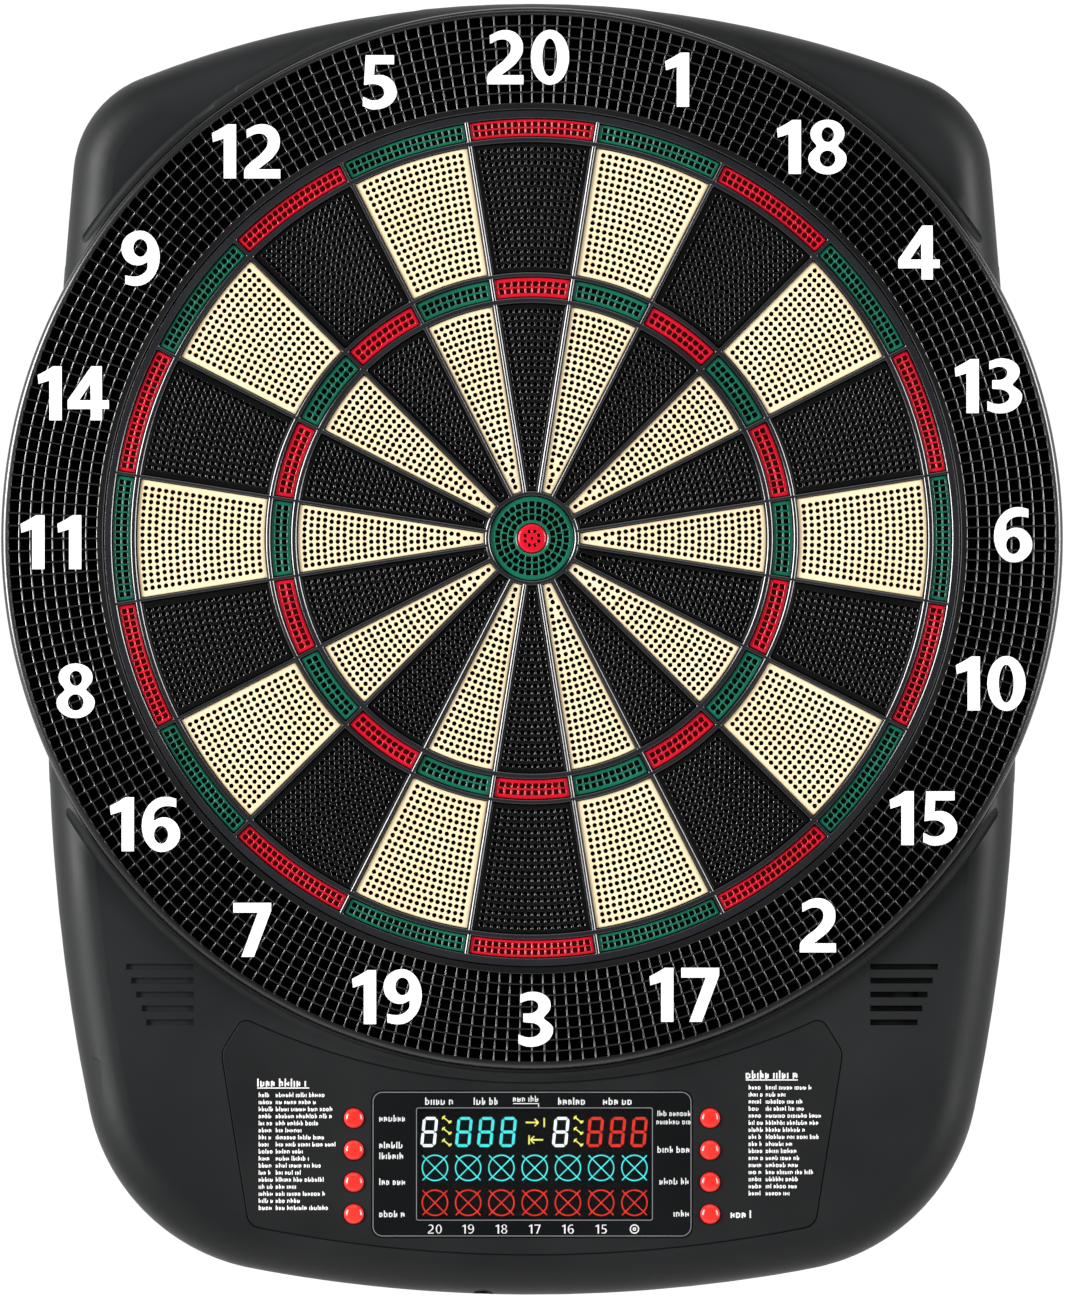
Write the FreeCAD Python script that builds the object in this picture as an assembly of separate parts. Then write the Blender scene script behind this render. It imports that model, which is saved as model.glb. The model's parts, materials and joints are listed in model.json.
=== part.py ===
"""Wall-hung electronic dartboard for soft-tip darts, built as the separate pieces it comes apart into.

Frame: millimetres, +Z up, +X to the right as seen by the player, -Y towards the player. The origin lies
on the wall plane (y = 0) behind the centre of the bull, so every depth below is a distance in front of
the wall and becomes a negative y.
"""

import FreeCAD, Part
import math
import os

from FreeCAD import Vector

# ---- target face: radii of the coloured areas, measured from the bull ------------------------------
target_radius = 171.5          # outer edge of the doubles: a 343 mm (13.5 inch) soft-tip target
double_width = 6.8
treble_outer = 106.7
treble_width = 7.7
single_split_inner = 95.9      # outer edge of the inner singles
single_split_outer = 109.3     # inner edge of the outer singles
single_outer = 161.7           # outer edge of the outer singles
bull_outer_radius = 17.1
bull_inner_radius = 6.0
single_inner = 19.7            # inner edge of the inner singles
scores = [20, 1, 18, 4, 13, 6, 10, 15, 2, 17, 3, 19, 7, 16, 8, 11, 14, 9, 12, 5]   # clockwise from the top
web_wall = 1.5                 # thickness of the spider's twenty radial walls
segment_play = 0.4             # gap between a segment and the walls round it
spider_rim = 3.3               # thickness of the spider's outer ring

# ---- number ring ----------------------------------------------------------------------------------
ring_radius = 217.3            # outside of the number ring
mesh_inner = 177.9             # the band of catch pockets lies between these two radii
mesh_outer = 214.4
ring_floor = 2.0               # thickness of the pockets' floor
ring_edge = 2.6                # rounding of the rim's outer edge
ring_play = 0.4                # gap round the ring, and between it and the spider

# ---- casing outline -------------------------------------------------------------------------------
body_top = 220.0               # casing's highest point above the bull
body_bottom = 311.0            # its lowest point below the bull
body_half_width = 199.0        # half the casing's width at the waist
waist_drop = 70.0              # the casing is widest this far below the bull
top_arc = 440.0
bottom_arc = 620.0
upper_side_arc = 2400.0
lower_side_arc = 810.0
top_corner = 44.0
bottom_corner = 84.0
wall = 2.5                     # wall of the front casing
back_wall = 2.5                # thickness of the back cover
front_rounding = 17.5          # radius of the casing's front edge
collar_width = 4.4             # the casing sweeps up to the number ring over this width
collar_rise = 3.5

# ---- depths in front of the wall ------------------------------------------------------------------
casing_depth = 25.0
parting_depth = 5.0            # where the back cover meets the front casing
ring_depth = 33.0
spider_depth = 31.5
segment_depth = 30.2
seat_depth = 15.0              # face of the casing's recess that the number ring sits on
pocket_floor_depth = 27.0
board_depth = 8.0              # front of the backing board
board_thickness = 3.0
film = 0.25                    # each of the three sheets of the sensor
mat_sheet = 2.0
mat_bump = 1.45                # height of the mat's spring bumps
lip_thickness = 1.3            # lip that keeps a segment behind the spider
segment_travel = 1.0
segment_face = 7.0             # solid thickness under a segment's face
segment_wall = 2.0

# ---- console --------------------------------------------------------------------------------------
panel_thickness = 1.2
panel_play = 0.35
panel_edge = 0.4               # chamfer round the panel's front
panel_top = 223.2              # distance below the bull of the panel's top edge, on the centre line
panel_bottom = 293.6
panel_top_arc = 263.5
panel_bottom_arc = 562.0
panel_corner_top = (118.5, 196.5)       # half width and distance below the bull of the panel's corners
panel_corner_side = (127.3, 210.5)
panel_corner_bottom = (116.0, 281.6)
window_width = 132.0
window_height = 60.6
window_corner = 4.5
window_centre = -256.4
screen_width = 96.0
screen_height = 45.0
button_radius = 4.1
button_column = 73.0           # distance of both button columns from the centre line
button_pitch = 13.1
button_top = -237.6            # height of the uppermost buttons
button_rise = 2.0              # how far a button stands out of the panel
button_travel = 0.6
button_play = 0.3
button_names = ["power", "reset", "option", "player", "bounce_out", "miss", "handicap", "start"]

# ---- circuit board, sound, power ------------------------------------------------------------------
pcb_width = 172.0
pcb_height = 62.0
pcb_thickness = 1.6
pcb_depth = casing_depth - 9.0          # front face of the circuit board
switch_size = 6.0
switch_height = 3.5
plunger_radius = 1.75
plunger_rise = 0.8
speaker_radius = 18.0
speaker_centre = (152.5, -187.0)
slot_height = 2.4
slot_pitch = 5.7
slot_top = -175.5
slot_inner = 138.6
slot_lengths = [27.8, 25.7, 23.6, 21.4, 19.5]
cell_radius = 7.15             # one AA cell
cell_length = 50.3
cell_count = 3
cell_pitch = 15.2
tray_centre = (-114.0, -245.0)
tray_length = 58.4
tray_wall = 1.8
door_thickness = 2.0
door_play = 0.4
hinge_radius = 1.9
hinge_pin_radius = 1.0
hinge_pin_length = 1.2
running_clearance = 0.06
jack_place = -20.0
jack_depth = 11.5
jack_size = (9.2, 9.0, 13.0)
jack_bore = 2.85
jack_pin = 1.0

# ---- fixings --------------------------------------------------------------------------------------
screw_radius = 1.5
screw_head = 2.9
screw_head_height = 1.8
boss_radius = 4.0
screw_fit = 0.06
clamp_screws = 10
clamp_circle = 182.0
case_screws = [(0, 205), (100, 191), (168, 158), (186.5, -112), (176, -210), (125, -286), (46, -300.5)]
keyhole_spacing = (200.0, 368.0)
keyhole_centre = -6.0
keyhole_radius = 4.5
keyhole_slot = 2.3
keyhole_run = 8.0

sector = 360.0 / len(scores)
cell_depth = 2 * hinge_radius + 0.35 + cell_radius
tray_depth = cell_depth + cell_radius + 0.6
board_rear = board_depth - board_thickness
film_depths = [board_depth + film * i for i in (3, 2, 1)]
mat_rear = board_depth + 3 * film
mat_front = mat_rear + mat_sheet
segment_rear = mat_front + mat_bump
spider_rear = segment_rear + lip_thickness + segment_travel
flange_rear = mat_front - film
spider_outer = target_radius + segment_play + spider_rim
ring_inner = spider_outer + ring_play
seat_rear = seat_depth - wall
board_radius = clamp_circle + 4.0
half_gap = web_wall / 2 + segment_play
lip_reach = half_gap - segment_play / 2 - 0.05
lip_front = spider_rear


# ---- small tools ----------------------------------------------------------------------------------
def at(x, z, depth=0.0):
    """A point x to the right, z up and depth in front of the wall."""
    return Vector(x, -depth, z)


def slab(wires, rear, front):
    """Flat piece between two depths. The first wire is its outline and the others are its holes."""
    face = Part.makeFace(wires, "Part::FaceMakerBullseye")
    face.translate(Vector(0, -rear, 0))
    return face.extrude(Vector(0, rear - front, 0))


def disc(radius, rear, front, x=0.0, z=0.0):
    return Part.makeCylinder(radius, front - rear, at(x, z, rear), Vector(0, -1, 0))


def tube(outer, inner, rear, front, x=0.0, z=0.0):
    return disc(outer, rear, front, x, z).cut(disc(inner, rear - 1, front + 1, x, z))


def block(x, z, width, height, rear, front):
    """Box centred on x, z."""
    corner = at(x - width / 2, z - height / 2, front)
    return Part.makeBox(width, front - rear, height, corner)


def polar(radius, degrees):
    """x, z at a clock angle, measured from the top."""
    a = math.radians(degrees)
    return radius * math.sin(a), radius * math.cos(a)


def joined(first, *others):
    return first.fuse(list(others)).removeSplitter()


def ring_wire(radius, x=0.0, z=0.0):
    return Part.Wire(Part.makeCircle(radius, at(x, z), Vector(0, -1, 0)))


def rounded_box_wire(width, height, corner, x=0.0, z=0.0):
    box = block(x, z, width, height, 0, 1)
    uprights = [e for e in box.Edges if abs(e.tangentAt(e.FirstParameter).y) > 0.9]
    flat = [f for f in box.makeFillet(corner, uprights).Faces if f.normalAt(0, 0).y > 0.9]
    return flat[0].OuterWire


def circles_meet(centre_a, radius_a, centre_b, radius_b, upper):
    """Where two circles cross at x > 0, above or below the line of their centres."""
    dx, dz = centre_b[0] - centre_a[0], centre_b[1] - centre_a[1]
    gap = math.hypot(dx, dz)
    along = (radius_a**2 - radius_b**2 + gap**2) / (2 * gap)
    off = math.sqrt(radius_a**2 - along**2)
    mid_x, mid_z = centre_a[0] + along * dx / gap, centre_a[1] + along * dz / gap
    found = [(mid_x + s * off * dz / gap, mid_z - s * off * dx / gap) for s in (1, -1)]
    return max(found, key=lambda p: p[1] if upper else p[0] - p[1])


# ---- casing blank ---------------------------------------------------------------------------------
def casing_blank(inset, rear, front, rounding):
    """The casing's outline, moved in by inset, as a solid with rounded corners and front edge."""
    top_c, top_r = (0.0, body_top - top_arc), top_arc - inset
    low_c, low_r = (0.0, bottom_arc - body_bottom), bottom_arc - inset
    up_c, up_r = (body_half_width - upper_side_arc, -waist_drop), upper_side_arc - inset
    down_c, down_r = (body_half_width - lower_side_arc, -waist_drop), lower_side_arc - inset
    shoulder = circles_meet(top_c, top_r, up_c, up_r, True)
    hip = circles_meet(low_c, low_r, down_c, down_r, False)
    waist = (body_half_width - inset, -waist_drop)

    def on_circle(centre, radius, p, q):
        """Point of the circle halfway between p and q."""
        x, z = (p[0] + q[0]) / 2 - centre[0], (p[1] + q[1]) / 2 - centre[1]
        return centre[0] + x * radius / math.hypot(x, z), centre[1] + z * radius / math.hypot(x, z)

    def flipped(p):
        return -p[0], p[1]

    top_mid, low_mid = (0.0, top_c[1] + top_r), (0.0, low_c[1] - low_r)
    upper_mid = on_circle(up_c, up_r, shoulder, waist)
    lower_mid = on_circle(down_c, down_r, waist, hip)
    arcs = [
        (flipped(shoulder), top_mid, shoulder),
        (shoulder, upper_mid, waist),
        (waist, lower_mid, hip),
        (hip, low_mid, flipped(hip)),
        (flipped(hip), flipped(lower_mid), flipped(waist)),
        (flipped(waist), flipped(upper_mid), flipped(shoulder)),
    ]
    outline = Part.Wire([Part.Arc(*[at(*p) for p in arc]).toShape() for arc in arcs])
    solid = slab([outline], rear, front)
    for corner, radius in ((shoulder, top_corner), (hip, bottom_corner)):
        edges = [
            e
            for e in solid.Edges
            if abs(abs(e.CenterOfMass.x) - corner[0]) < 0.1 and abs(e.CenterOfMass.z - corner[1]) < 0.1
        ]
        solid = solid.makeFillet(radius - inset, edges)
    if rounding:
        rounding = min(rounding, front - max(rear, parting_depth) - 2.0)
        rim = [e for e in solid.Edges if abs(e.BoundBox.YMax + front) < 0.01]
        solid = solid.makeFillet(rounding, rim)
    return solid


# ---- target face ----------------------------------------------------------------------------------
def sector_wire(inner, outer, degrees, gap):
    """Outline of one cell: two arcs round the bull and two sides that keep gap from the sector's edges."""
    corners = []
    for radius, side in ((inner, -1), (inner, 1), (outer, 1), (outer, -1)):
        half = sector / 2 - math.degrees(math.asin(gap / radius))
        corners.append(at(*polar(radius, degrees + side * half)))
    a, b, c, d = corners
    inner_mid, outer_mid = at(*polar(inner, degrees)), at(*polar(outer, degrees))
    return Part.Wire([
        Part.Arc(a, inner_mid, b).toShape(),
        Part.LineSegment(b, c).toShape(),
        Part.Arc(c, outer_mid, d).toShape(),
        Part.LineSegment(d, a).toShape(),
    ])


bands = {
    "double": (target_radius - double_width, target_radius),
    "outer_single": (single_split_outer, single_outer),
    "treble": (treble_outer - treble_width, treble_outer),
    "inner_single": (single_inner, single_split_inner),
}


def bump_places(inner, outer):
    """Radii at which a segment's posts stand on the mat's bumps."""
    depth = outer - inner
    return [(inner + outer) / 2] if depth < 20 else [inner + 0.45 * depth, outer - 0.15 * depth]


post_radius = 2.0
bump_radius = 1.5


def segment(inner, outer, degrees):
    """One target segment: a thick face with thin walls behind it, a lip, and posts over the bumps."""
    piece = slab([sector_wire(inner, outer, degrees, half_gap)], segment_rear + 0.6, segment_depth)
    lip_gap = half_gap - lip_reach
    lip_wire = sector_wire(inner - lip_reach, outer + lip_reach, degrees, lip_gap)
    lip = slab([lip_wire], lip_front - lip_thickness, lip_front)
    hollow_gap = half_gap + segment_wall
    hollow_inner = max(inner + segment_wall, 2.4 * hollow_gap / math.sin(math.radians(sector / 2)))
    hollow_wire = sector_wire(hollow_inner, outer - segment_wall, degrees, hollow_gap)
    hollow = slab([hollow_wire], 0, segment_depth - segment_face)
    posts = [
        disc(post_radius, segment_rear, segment_depth - 1, *polar(r, degrees)) for r in bump_places(inner, outer)
    ]
    return joined(joined(piece, lip).cut(hollow), *posts)


def target_segments():
    """Every outer single is a node of its own. The rest share a node by ring and colour."""
    nodes = {}
    for i, score in enumerate(scores):
        dark = i % 2 == 0
        for band, (inner, outer) in bands.items():
            colour = {True: ("red", "black"), False: ("green", "cream")}[dark]
            name = {
                "double": f"doubles_{colour[0]}",
                "outer_single": f"outer_single_{score:02d}",
                "treble": f"trebles_{colour[0]}",
                "inner_single": f"inner_singles_{colour[1]}",
            }[band]
            nodes.setdefault(name, []).append(segment(inner, outer, i * sector))
    return {name: Part.makeCompound(pieces) for name, pieces in nodes.items()}


bull_bore = bull_inner_radius + 0.35
bull_step = bull_inner_radius + 1.5
bull_post_circle = 12.0


def bull_outer():
    front, rear = segment_depth, segment_rear
    piece = tube(bull_outer_radius, bull_bore, rear + 0.6, front)
    piece = joined(piece, tube(bull_outer_radius + lip_reach, bull_bore, lip_front - lip_thickness, lip_front))
    piece = piece.cut(disc(bull_step, 0, lip_front + segment_travel + 0.1))
    trough = tube(bull_outer_radius - segment_wall, bull_step + segment_wall, 0, front - segment_face)
    posts = [disc(1.9, rear, front - 1, *polar(bull_post_circle, a)) for a in (45, 135, 225, 315)]
    return joined(piece.cut(trough), *posts)


def bull_inner():
    """The inner bull's flange stays behind the outer bull's step, with room for either to move alone."""
    stem = disc(bull_inner_radius, segment_rear, segment_depth + 0.4)
    rim = [e for e in stem.Edges if abs(e.BoundBox.YMax + segment_depth + 0.4) < 0.01]
    stem = stem.makeFillet(0.9, rim)
    flange = disc(bull_step - 0.4, segment_rear, lip_front - 0.1)
    return joined(stem, flange)


def spider():
    """Web of thin walls that keeps the segments apart, with a rear flange that the clamp screws hold."""
    cells = [
        sector_wire(inner - segment_play, outer + segment_play, i * sector, web_wall / 2)
        for i in range(len(scores))
        for inner, outer in bands.values()
    ]
    cells.append(ring_wire(bull_outer_radius + segment_play))
    web = slab([ring_wire(spider_outer)] + cells, spider_rear, spider_depth)
    inner = target_radius + lip_reach + segment_play
    collar = tube(spider_outer, inner, flange_rear, spider_rear + 0.01)
    flange = tube(board_radius, inner, flange_rear, seat_rear)
    holes = [disc(screw_radius + 0.2, 0, 40, *polar(clamp_circle, a)) for a in clamp_angles()]
    return joined(web, collar, flange).cut(holes)


def clamp_angles():
    return [(i + 0.5) * 360 / clamp_screws for i in range(clamp_screws)]


# ---- sensor behind the target ---------------------------------------------------------------------
def all_bumps():
    places = [
        polar(r, i * sector)
        for i in range(len(scores))
        for inner, outer in bands.values()
        for r in bump_places(inner, outer)
    ]
    return places + [(0.0, 0.0)] + [polar(bull_post_circle, a) for a in (45, 135, 225, 315)]


def rubber_mat():
    sheet = disc(target_radius, mat_rear, mat_front)
    return sheet.fuse([disc(bump_radius, mat_front - 0.5, segment_rear, x, z) for x, z in all_bumps()])


tail_width = 34.0
tail_end = -(panel_top + 8.0)


def sensor_sheet(depth, holes=False):
    """One of the sensor's plastic films. Its tail runs down to the circuit board's connector."""
    sheet = disc(target_radius, depth - film, depth)
    length = -tail_end - target_radius + 6
    tail = block(0, tail_end + length / 2, tail_width, length, depth - film, depth)
    sheet = joined(sheet, tail)
    if holes:
        sheet = sheet.cut([disc(bump_radius + 0.5, 0, 20, x, z) for x, z in all_bumps()])
    return sheet


def backing_board():
    board = disc(board_radius, board_rear, board_depth)
    cuts = [disc(screw_radius + 0.2, 0, 20, *polar(clamp_circle, a)) for a in clamp_angles()]
    spacers = [
        tube(screw_head + 0.8, screw_radius + 0.2, board_depth - 0.2, flange_rear, *polar(clamp_circle, a))
        for a in clamp_angles()
    ]
    return joined(board.cut(cuts), *spacers)


# ---- number ring ----------------------------------------------------------------------------------
def number_ring():
    """Annular tray with a rounded outer rim. The bosses under its floor take the clamp screws."""
    shelf = pocket_floor_depth
    under = shelf - ring_floor
    inner_top = ring_depth - 0.8
    skirt = ring_radius - 2.2
    corner = ring_radius - ring_edge
    bend = ring_edge * (1 - math.sqrt(0.5))
    rounding = Part.Arc(
        at(ring_radius, 0, ring_depth - ring_edge),
        at(ring_radius - bend, 0, ring_depth - bend),
        at(corner, 0, ring_depth),
    ).toShape()
    before = [(ring_inner, inner_top), (ring_inner, seat_depth), (mesh_inner, seat_depth), (mesh_inner, under),
              (skirt, under), (skirt, seat_depth), (ring_radius, seat_depth), (ring_radius, ring_depth - ring_edge)]
    after = [(corner, ring_depth), (mesh_outer, ring_depth - 0.3), (mesh_outer, shelf), (mesh_inner, shelf),
             (mesh_inner, inner_top), (ring_inner, inner_top)]
    path = [Part.makePolygon([at(r, 0, d) for r, d in before])]
    path += [rounding, Part.makePolygon([at(r, 0, d) for r, d in after])]
    profile = Part.Wire([e for part in path for e in part.Edges])
    tray = Part.Face(profile).revolve(Vector(0, 0, 0), Vector(0, 1, 0), 360)
    bosses = [
        tube(boss_radius, screw_radius + screw_fit, seat_depth, under + 0.5, *polar(clamp_circle, a))
        for a in clamp_angles()
    ]
    return joined(tray, *bosses)


# ---- front casing ---------------------------------------------------------------------------------
def mirrored(places):
    """Each place, and its mirror image where it is off the centre line."""
    return [(s * x, z) for x, z in places for s in ((1, -1) if x else (1,))]


def case_bosses():
    """Bosses run from inside the front wall, or from the ring's seat, back to the parting line."""
    bosses = []
    for x, z in mirrored(case_screws):
        under_ring = math.hypot(x, z) < ring_radius
        front = (seat_rear if under_ring else casing_depth - wall) + 0.5
        bosses.append(disc(boss_radius, parting_depth + 0.2, front, x, z))
    return bosses


def panel_wire(grow):
    """Outline of the control panel: an arc above and below, and two straight runs down each side."""
    (tx, tz), (sx, sz), (bx, bz) = panel_corner_top, panel_corner_side, panel_corner_bottom
    top_mid = at(0, -panel_top)
    low_mid = at(0, -panel_bottom)
    edges = [
        Part.Arc(at(-tx, -tz), top_mid, at(tx, -tz)).toShape(),
        Part.LineSegment(at(tx, -tz), at(sx, -sz)).toShape(),
        Part.LineSegment(at(sx, -sz), at(bx, -bz)).toShape(),
        Part.Arc(at(bx, -bz), low_mid, at(-bx, -bz)).toShape(),
        Part.LineSegment(at(-bx, -bz), at(-sx, -sz)).toShape(),
        Part.LineSegment(at(-sx, -sz), at(-tx, -tz)).toShape(),
    ]
    blank = slab([Part.Wire(edges)], 0, 1)
    for (x, z), radius in (((tx, tz), 4.0), ((sx, sz), 9.0), ((bx, bz), 6.0)):
        uprights = [
            e
            for e in blank.Edges
            if abs(abs(e.CenterOfMass.x) - x) < 0.01 and abs(e.CenterOfMass.z + z) < 0.01
        ]
        blank = blank.makeFillet(radius, uprights)
    face = [f for f in blank.Faces if f.normalAt(0, 0).y > 0.99][0]
    wire = face.OuterWire
    return wire.makeOffset2D(grow) if grow else wire


def button_places():
    return [
        (side * button_column, button_top - i * button_pitch) for side in (-1, 1) for i in range(4)
    ]


def speaker_slots(side, rear, front):
    """Five slots, each shorter than the one above. side is 1 on the right and -1 on the left."""
    return [
        block(side * (slot_inner + length / 2), slot_top - i * slot_pitch, length, slot_height, rear, front)
        for i, length in enumerate(slot_lengths)
    ]


def pcb_screw_places():
    x, z = pcb_width / 2 - 4.5, pcb_height / 2 - 4.5
    return [(sx * x, window_centre + sz * z) for sx in (-1, 1) for sz in (-1, 1)]


def front_casing():
    floor = casing_depth - panel_thickness
    outer = casing_blank(0, parting_depth, casing_depth, front_rounding)
    cavity = casing_blank(wall, parting_depth - 1, casing_depth - wall, front_rounding - wall)
    recess = ring_radius + ring_play
    seat = disc(recess + wall, seat_rear, casing_depth).common(outer)
    casing = joined(outer.cut(cavity), seat)

    foot = recess + collar_width
    sweep = Part.Arc(
        at(foot, 0, casing_depth),
        at(recess + collar_width * 0.42, 0, casing_depth + collar_rise * 0.24),
        at(recess + 0.8, 0, casing_depth + collar_rise),
    ).toShape()
    tall = [(recess + 0.8, casing_depth + collar_rise), (recess, casing_depth + collar_rise),
            (recess, seat_rear), (foot, seat_rear), (foot, casing_depth)]
    side = Part.makePolygon([at(r, 0, d) for r, d in tall])
    profile = Part.Wire([sweep] + side.Edges)
    collar = Part.Face(profile).revolve(Vector(0, 0, 0), Vector(0, 1, 0), 360)
    taller = casing_blank(0, parting_depth, casing_depth + collar_rise, front_rounding)
    hull_side = casing_blank(wall, parting_depth - 1, seat_rear, 0)
    casing = casing.fuse(collar.common(taller).cut(hull_side))

    bosses = [b.common(outer) for b in case_bosses()]
    bosses += [disc(boss_radius, pcb_depth, casing_depth - 1, x, z) for x, z in pcb_screw_places()]
    sx, sz = speaker_centre
    bosses.append(tube(speaker_radius + 2.2, speaker_radius + 0.3, 15, casing_depth - wall + 0.5, sx, sz))
    cradle = block(jack_place, jack_wall() + 8.5, 15, 13, jack_depth + jack_size[1] / 2, casing_depth - 1)
    bosses.append(cradle.common(outer))
    casing = casing.fuse(bosses)

    cuts = [disc(recess, seat_depth, ring_depth + 9), disc(ring_inner + 0.1, 0, ring_depth)]
    cuts += [disc(screw_radius + screw_fit, 0, depth, x, z) for x, z, depth in casing_pilots()]
    cuts += [disc(screw_radius + 0.2, 0, 20, *polar(clamp_circle, a)) for a in clamp_angles()]
    cuts.append(slab([panel_wire(panel_play)], floor, casing_depth + 9))
    cuts.append(block(0, window_centre, screen_width + 3, screen_height + 3, 0, casing_depth))
    cuts += [disc(button_radius + button_play, 0, casing_depth, x, z) for x, z in button_places()]
    cuts += speaker_slots(1, 0, casing_depth + 1)
    cuts += speaker_slots(-1, casing_depth - 1.5, casing_depth + 1)
    nose = Part.makeCylinder(4.2, 30, Vector(jack_place, -jack_depth, -body_bottom - 9), Vector(0, 0, 1))
    return casing.cut(cuts + [nose.common(block(jack_place, -body_bottom, 20, 24, 0, 30))])


def casing_pilots():
    """Screw holes in the casing's bosses: x, z and the depth at which each hole ends."""
    deep = [(x, z, seat_rear if math.hypot(x, z) < ring_radius else 16.0) for x, z in mirrored(case_screws)]
    return deep + [(x, z, casing_depth - wall) for x, z in pcb_screw_places()]


# ---- back cover and battery box -------------------------------------------------------------------
def tray_width():
    return cell_count * cell_pitch + 0.8


def door_size():
    """Width, lowest and highest z of the battery door."""
    z = tray_centre[1]
    return tray_width() - 2 * door_play, z - tray_length / 2 + door_play, z + tray_length / 2 - door_play


def hinge_line():
    """Height and depth of the battery door's hinge."""
    return door_size()[1] + hinge_radius, hinge_radius


def keyhole(x, z):
    """Round entry with a narrower slot above it."""
    slot = block(x, z + keyhole_run / 2, 2 * keyhole_slot, keyhole_run, -1, back_wall + 1)
    return [disc(keyhole_radius, -1, back_wall + 1, x, z), slot, disc(keyhole_slot, -1, 4, x, z + keyhole_run)]


def keyhole_places():
    half_x, half_z = keyhole_spacing[0] / 2, keyhole_spacing[1] / 2
    return [(sx * half_x, keyhole_centre + sz * half_z) for sx in (-1, 1) for sz in (-1, 1)]


def back_cover():
    lip = 1.2
    outer = casing_blank(0, 0, parting_depth, 0)
    rear_edges = [e for e in outer.Edges if abs(e.BoundBox.YMin) < 0.01 and abs(e.BoundBox.YMax) < 0.01]
    outer = outer.makeFillet(1.6, rear_edges)
    inner = casing_blank(wall, back_wall, parting_depth + 1, 0)
    locate = casing_blank(wall + 0.2, back_wall, parting_depth + 3, 0)
    locate = locate.cut(casing_blank(wall + 0.2 + lip, back_wall - 1, parting_depth + 4, 0))
    cover = joined(outer.cut(inner), locate)

    tx, tz = tray_centre
    box_outer = block(tx, tz, tray_width() + 2 * tray_wall, tray_length + 2 * tray_wall, 0, tray_depth + tray_wall)
    box_inner = block(tx, tz, tray_width(), tray_length, -1, tray_depth)
    ribs = [tube(r + 0.8, r - 0.8, back_wall - 0.5, board_rear) for r in (40, 100, 160)]
    posts = [disc(boss_radius, back_wall - 0.5, parting_depth, x, z) for x, z in mirrored(case_screws)]
    cover = joined(cover, *ribs, *posts, box_outer).cut(box_inner)

    hinge_z, hinge_y = hinge_line()
    reach = tray_width() / 2 + hinge_pin_length
    sockets = Part.makeCylinder(
        hinge_pin_radius + running_clearance, 2 * reach, at(tx - reach, hinge_z, hinge_y), Vector(1, 0, 0)
    )
    cuts = [sockets, block(jack_place, jack_wall() + 4, jack_size[0] + 4, 12, back_wall, parting_depth + 4)]
    for x, z in mirrored(case_screws):
        cuts += [disc(screw_radius + 0.2, -1, 9, x, z), disc(screw_head + 0.3, -1, 2.2, x, z)]
    for place in keyhole_places():
        cuts += keyhole(*place)
    return cover.cut(cuts)


def battery_door():
    tx = tray_centre[0]
    width, low, high = door_size()
    hinge_z, hinge_y = hinge_line()
    plate = block(tx, (hinge_z + high) / 2, width, high - hinge_z, 0, door_thickness)
    barrel = Part.makeCylinder(hinge_radius, width, at(tx - width / 2, hinge_z, hinge_y), Vector(1, 0, 0))
    pins = Part.makeCylinder(
        hinge_pin_radius,
        width + 2 * hinge_pin_length,
        at(tx - width / 2 - hinge_pin_length, hinge_z, hinge_y),
        Vector(1, 0, 0),
    )
    latch = block(tx, high - 1.6, 12, 1.2, door_thickness - 0.5, door_thickness + 4)
    grips = [block(tx, high - 6 - 2.4 * i, 16, 1.0, -1, 0.4) for i in range(4)]
    return joined(plate, barrel, pins, latch).cut(grips)


def battery_places():
    first = tray_centre[0] - (cell_count - 1) / 2 * cell_pitch
    return [first + i * cell_pitch for i in range(cell_count)]


spring_room = 5.4


def batteries():
    """AA cells side by side, every second one the other way up."""
    cells = []
    for i, x in enumerate(battery_places()):
        up = 1 if i % 2 == 0 else -1
        low = tray_centre[1] - up * (tray_length / 2 - spring_room)
        can = Part.makeCylinder(cell_radius, cell_length - 1.2, at(x, low, cell_depth), Vector(0, 0, up))
        nub_z = low + up * (cell_length - 1.2)
        nub = Part.makeCylinder(2.7, 1.2, at(x, nub_z, cell_depth), Vector(0, 0, up))
        cells.append(joined(can, nub))
    return Part.makeCompound(cells)


def battery_contacts():
    """A plate at each end of every cell. A conical coil of stacked rings presses on its flat end."""
    pieces = []
    for i, x in enumerate(battery_places()):
        up = 1 if i % 2 == 0 else -1
        for side in (-1, 1):
            z = tray_centre[1] + side * (tray_length / 2 - 0.3)
            plate = block(x, z, 11, 0.5, cell_depth - 5.5, cell_depth + 5.5)
            if side == -up:
                start = z - side * 0.25
                length = spring_room - 0.55
                cone = Part.makeCone(4.6, 2.6, length, at(x, start, cell_depth), Vector(0, 0, -side))
                bore = Part.makeCone(3.8, 1.8, length, at(x, start, cell_depth), Vector(0, 0, -side))
                plate = joined(plate, cone.cut(bore))
            pieces.append(plate)
    return Part.makeCompound(pieces)


# ---- console pieces -------------------------------------------------------------------------------
def control_panel():
    rear, front = casing_depth - panel_thickness, casing_depth
    panel = slab([panel_wire(0)], rear, front)
    rim = [e for e in panel.Edges if abs(e.BoundBox.YMin + front) < 0.01 and e.BoundBox.YLength < 0.01]
    panel = panel.makeChamfer(panel_edge, rim)
    lens = rounded_box_wire(window_width, window_height, window_corner, 0, window_centre)
    opening = slab([lens], rear - 1, front + 1)
    return panel.cut([opening] + [disc(button_radius + button_play, 0, 40, x, z) for x, z in button_places()])


def display_window():
    play = 0.15
    width, height = window_width - 2 * play, window_height - 2 * play
    wire = rounded_box_wire(width, height, window_corner - play, 0, window_centre)
    return slab([wire], casing_depth - panel_thickness, casing_depth - 0.1)


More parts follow.
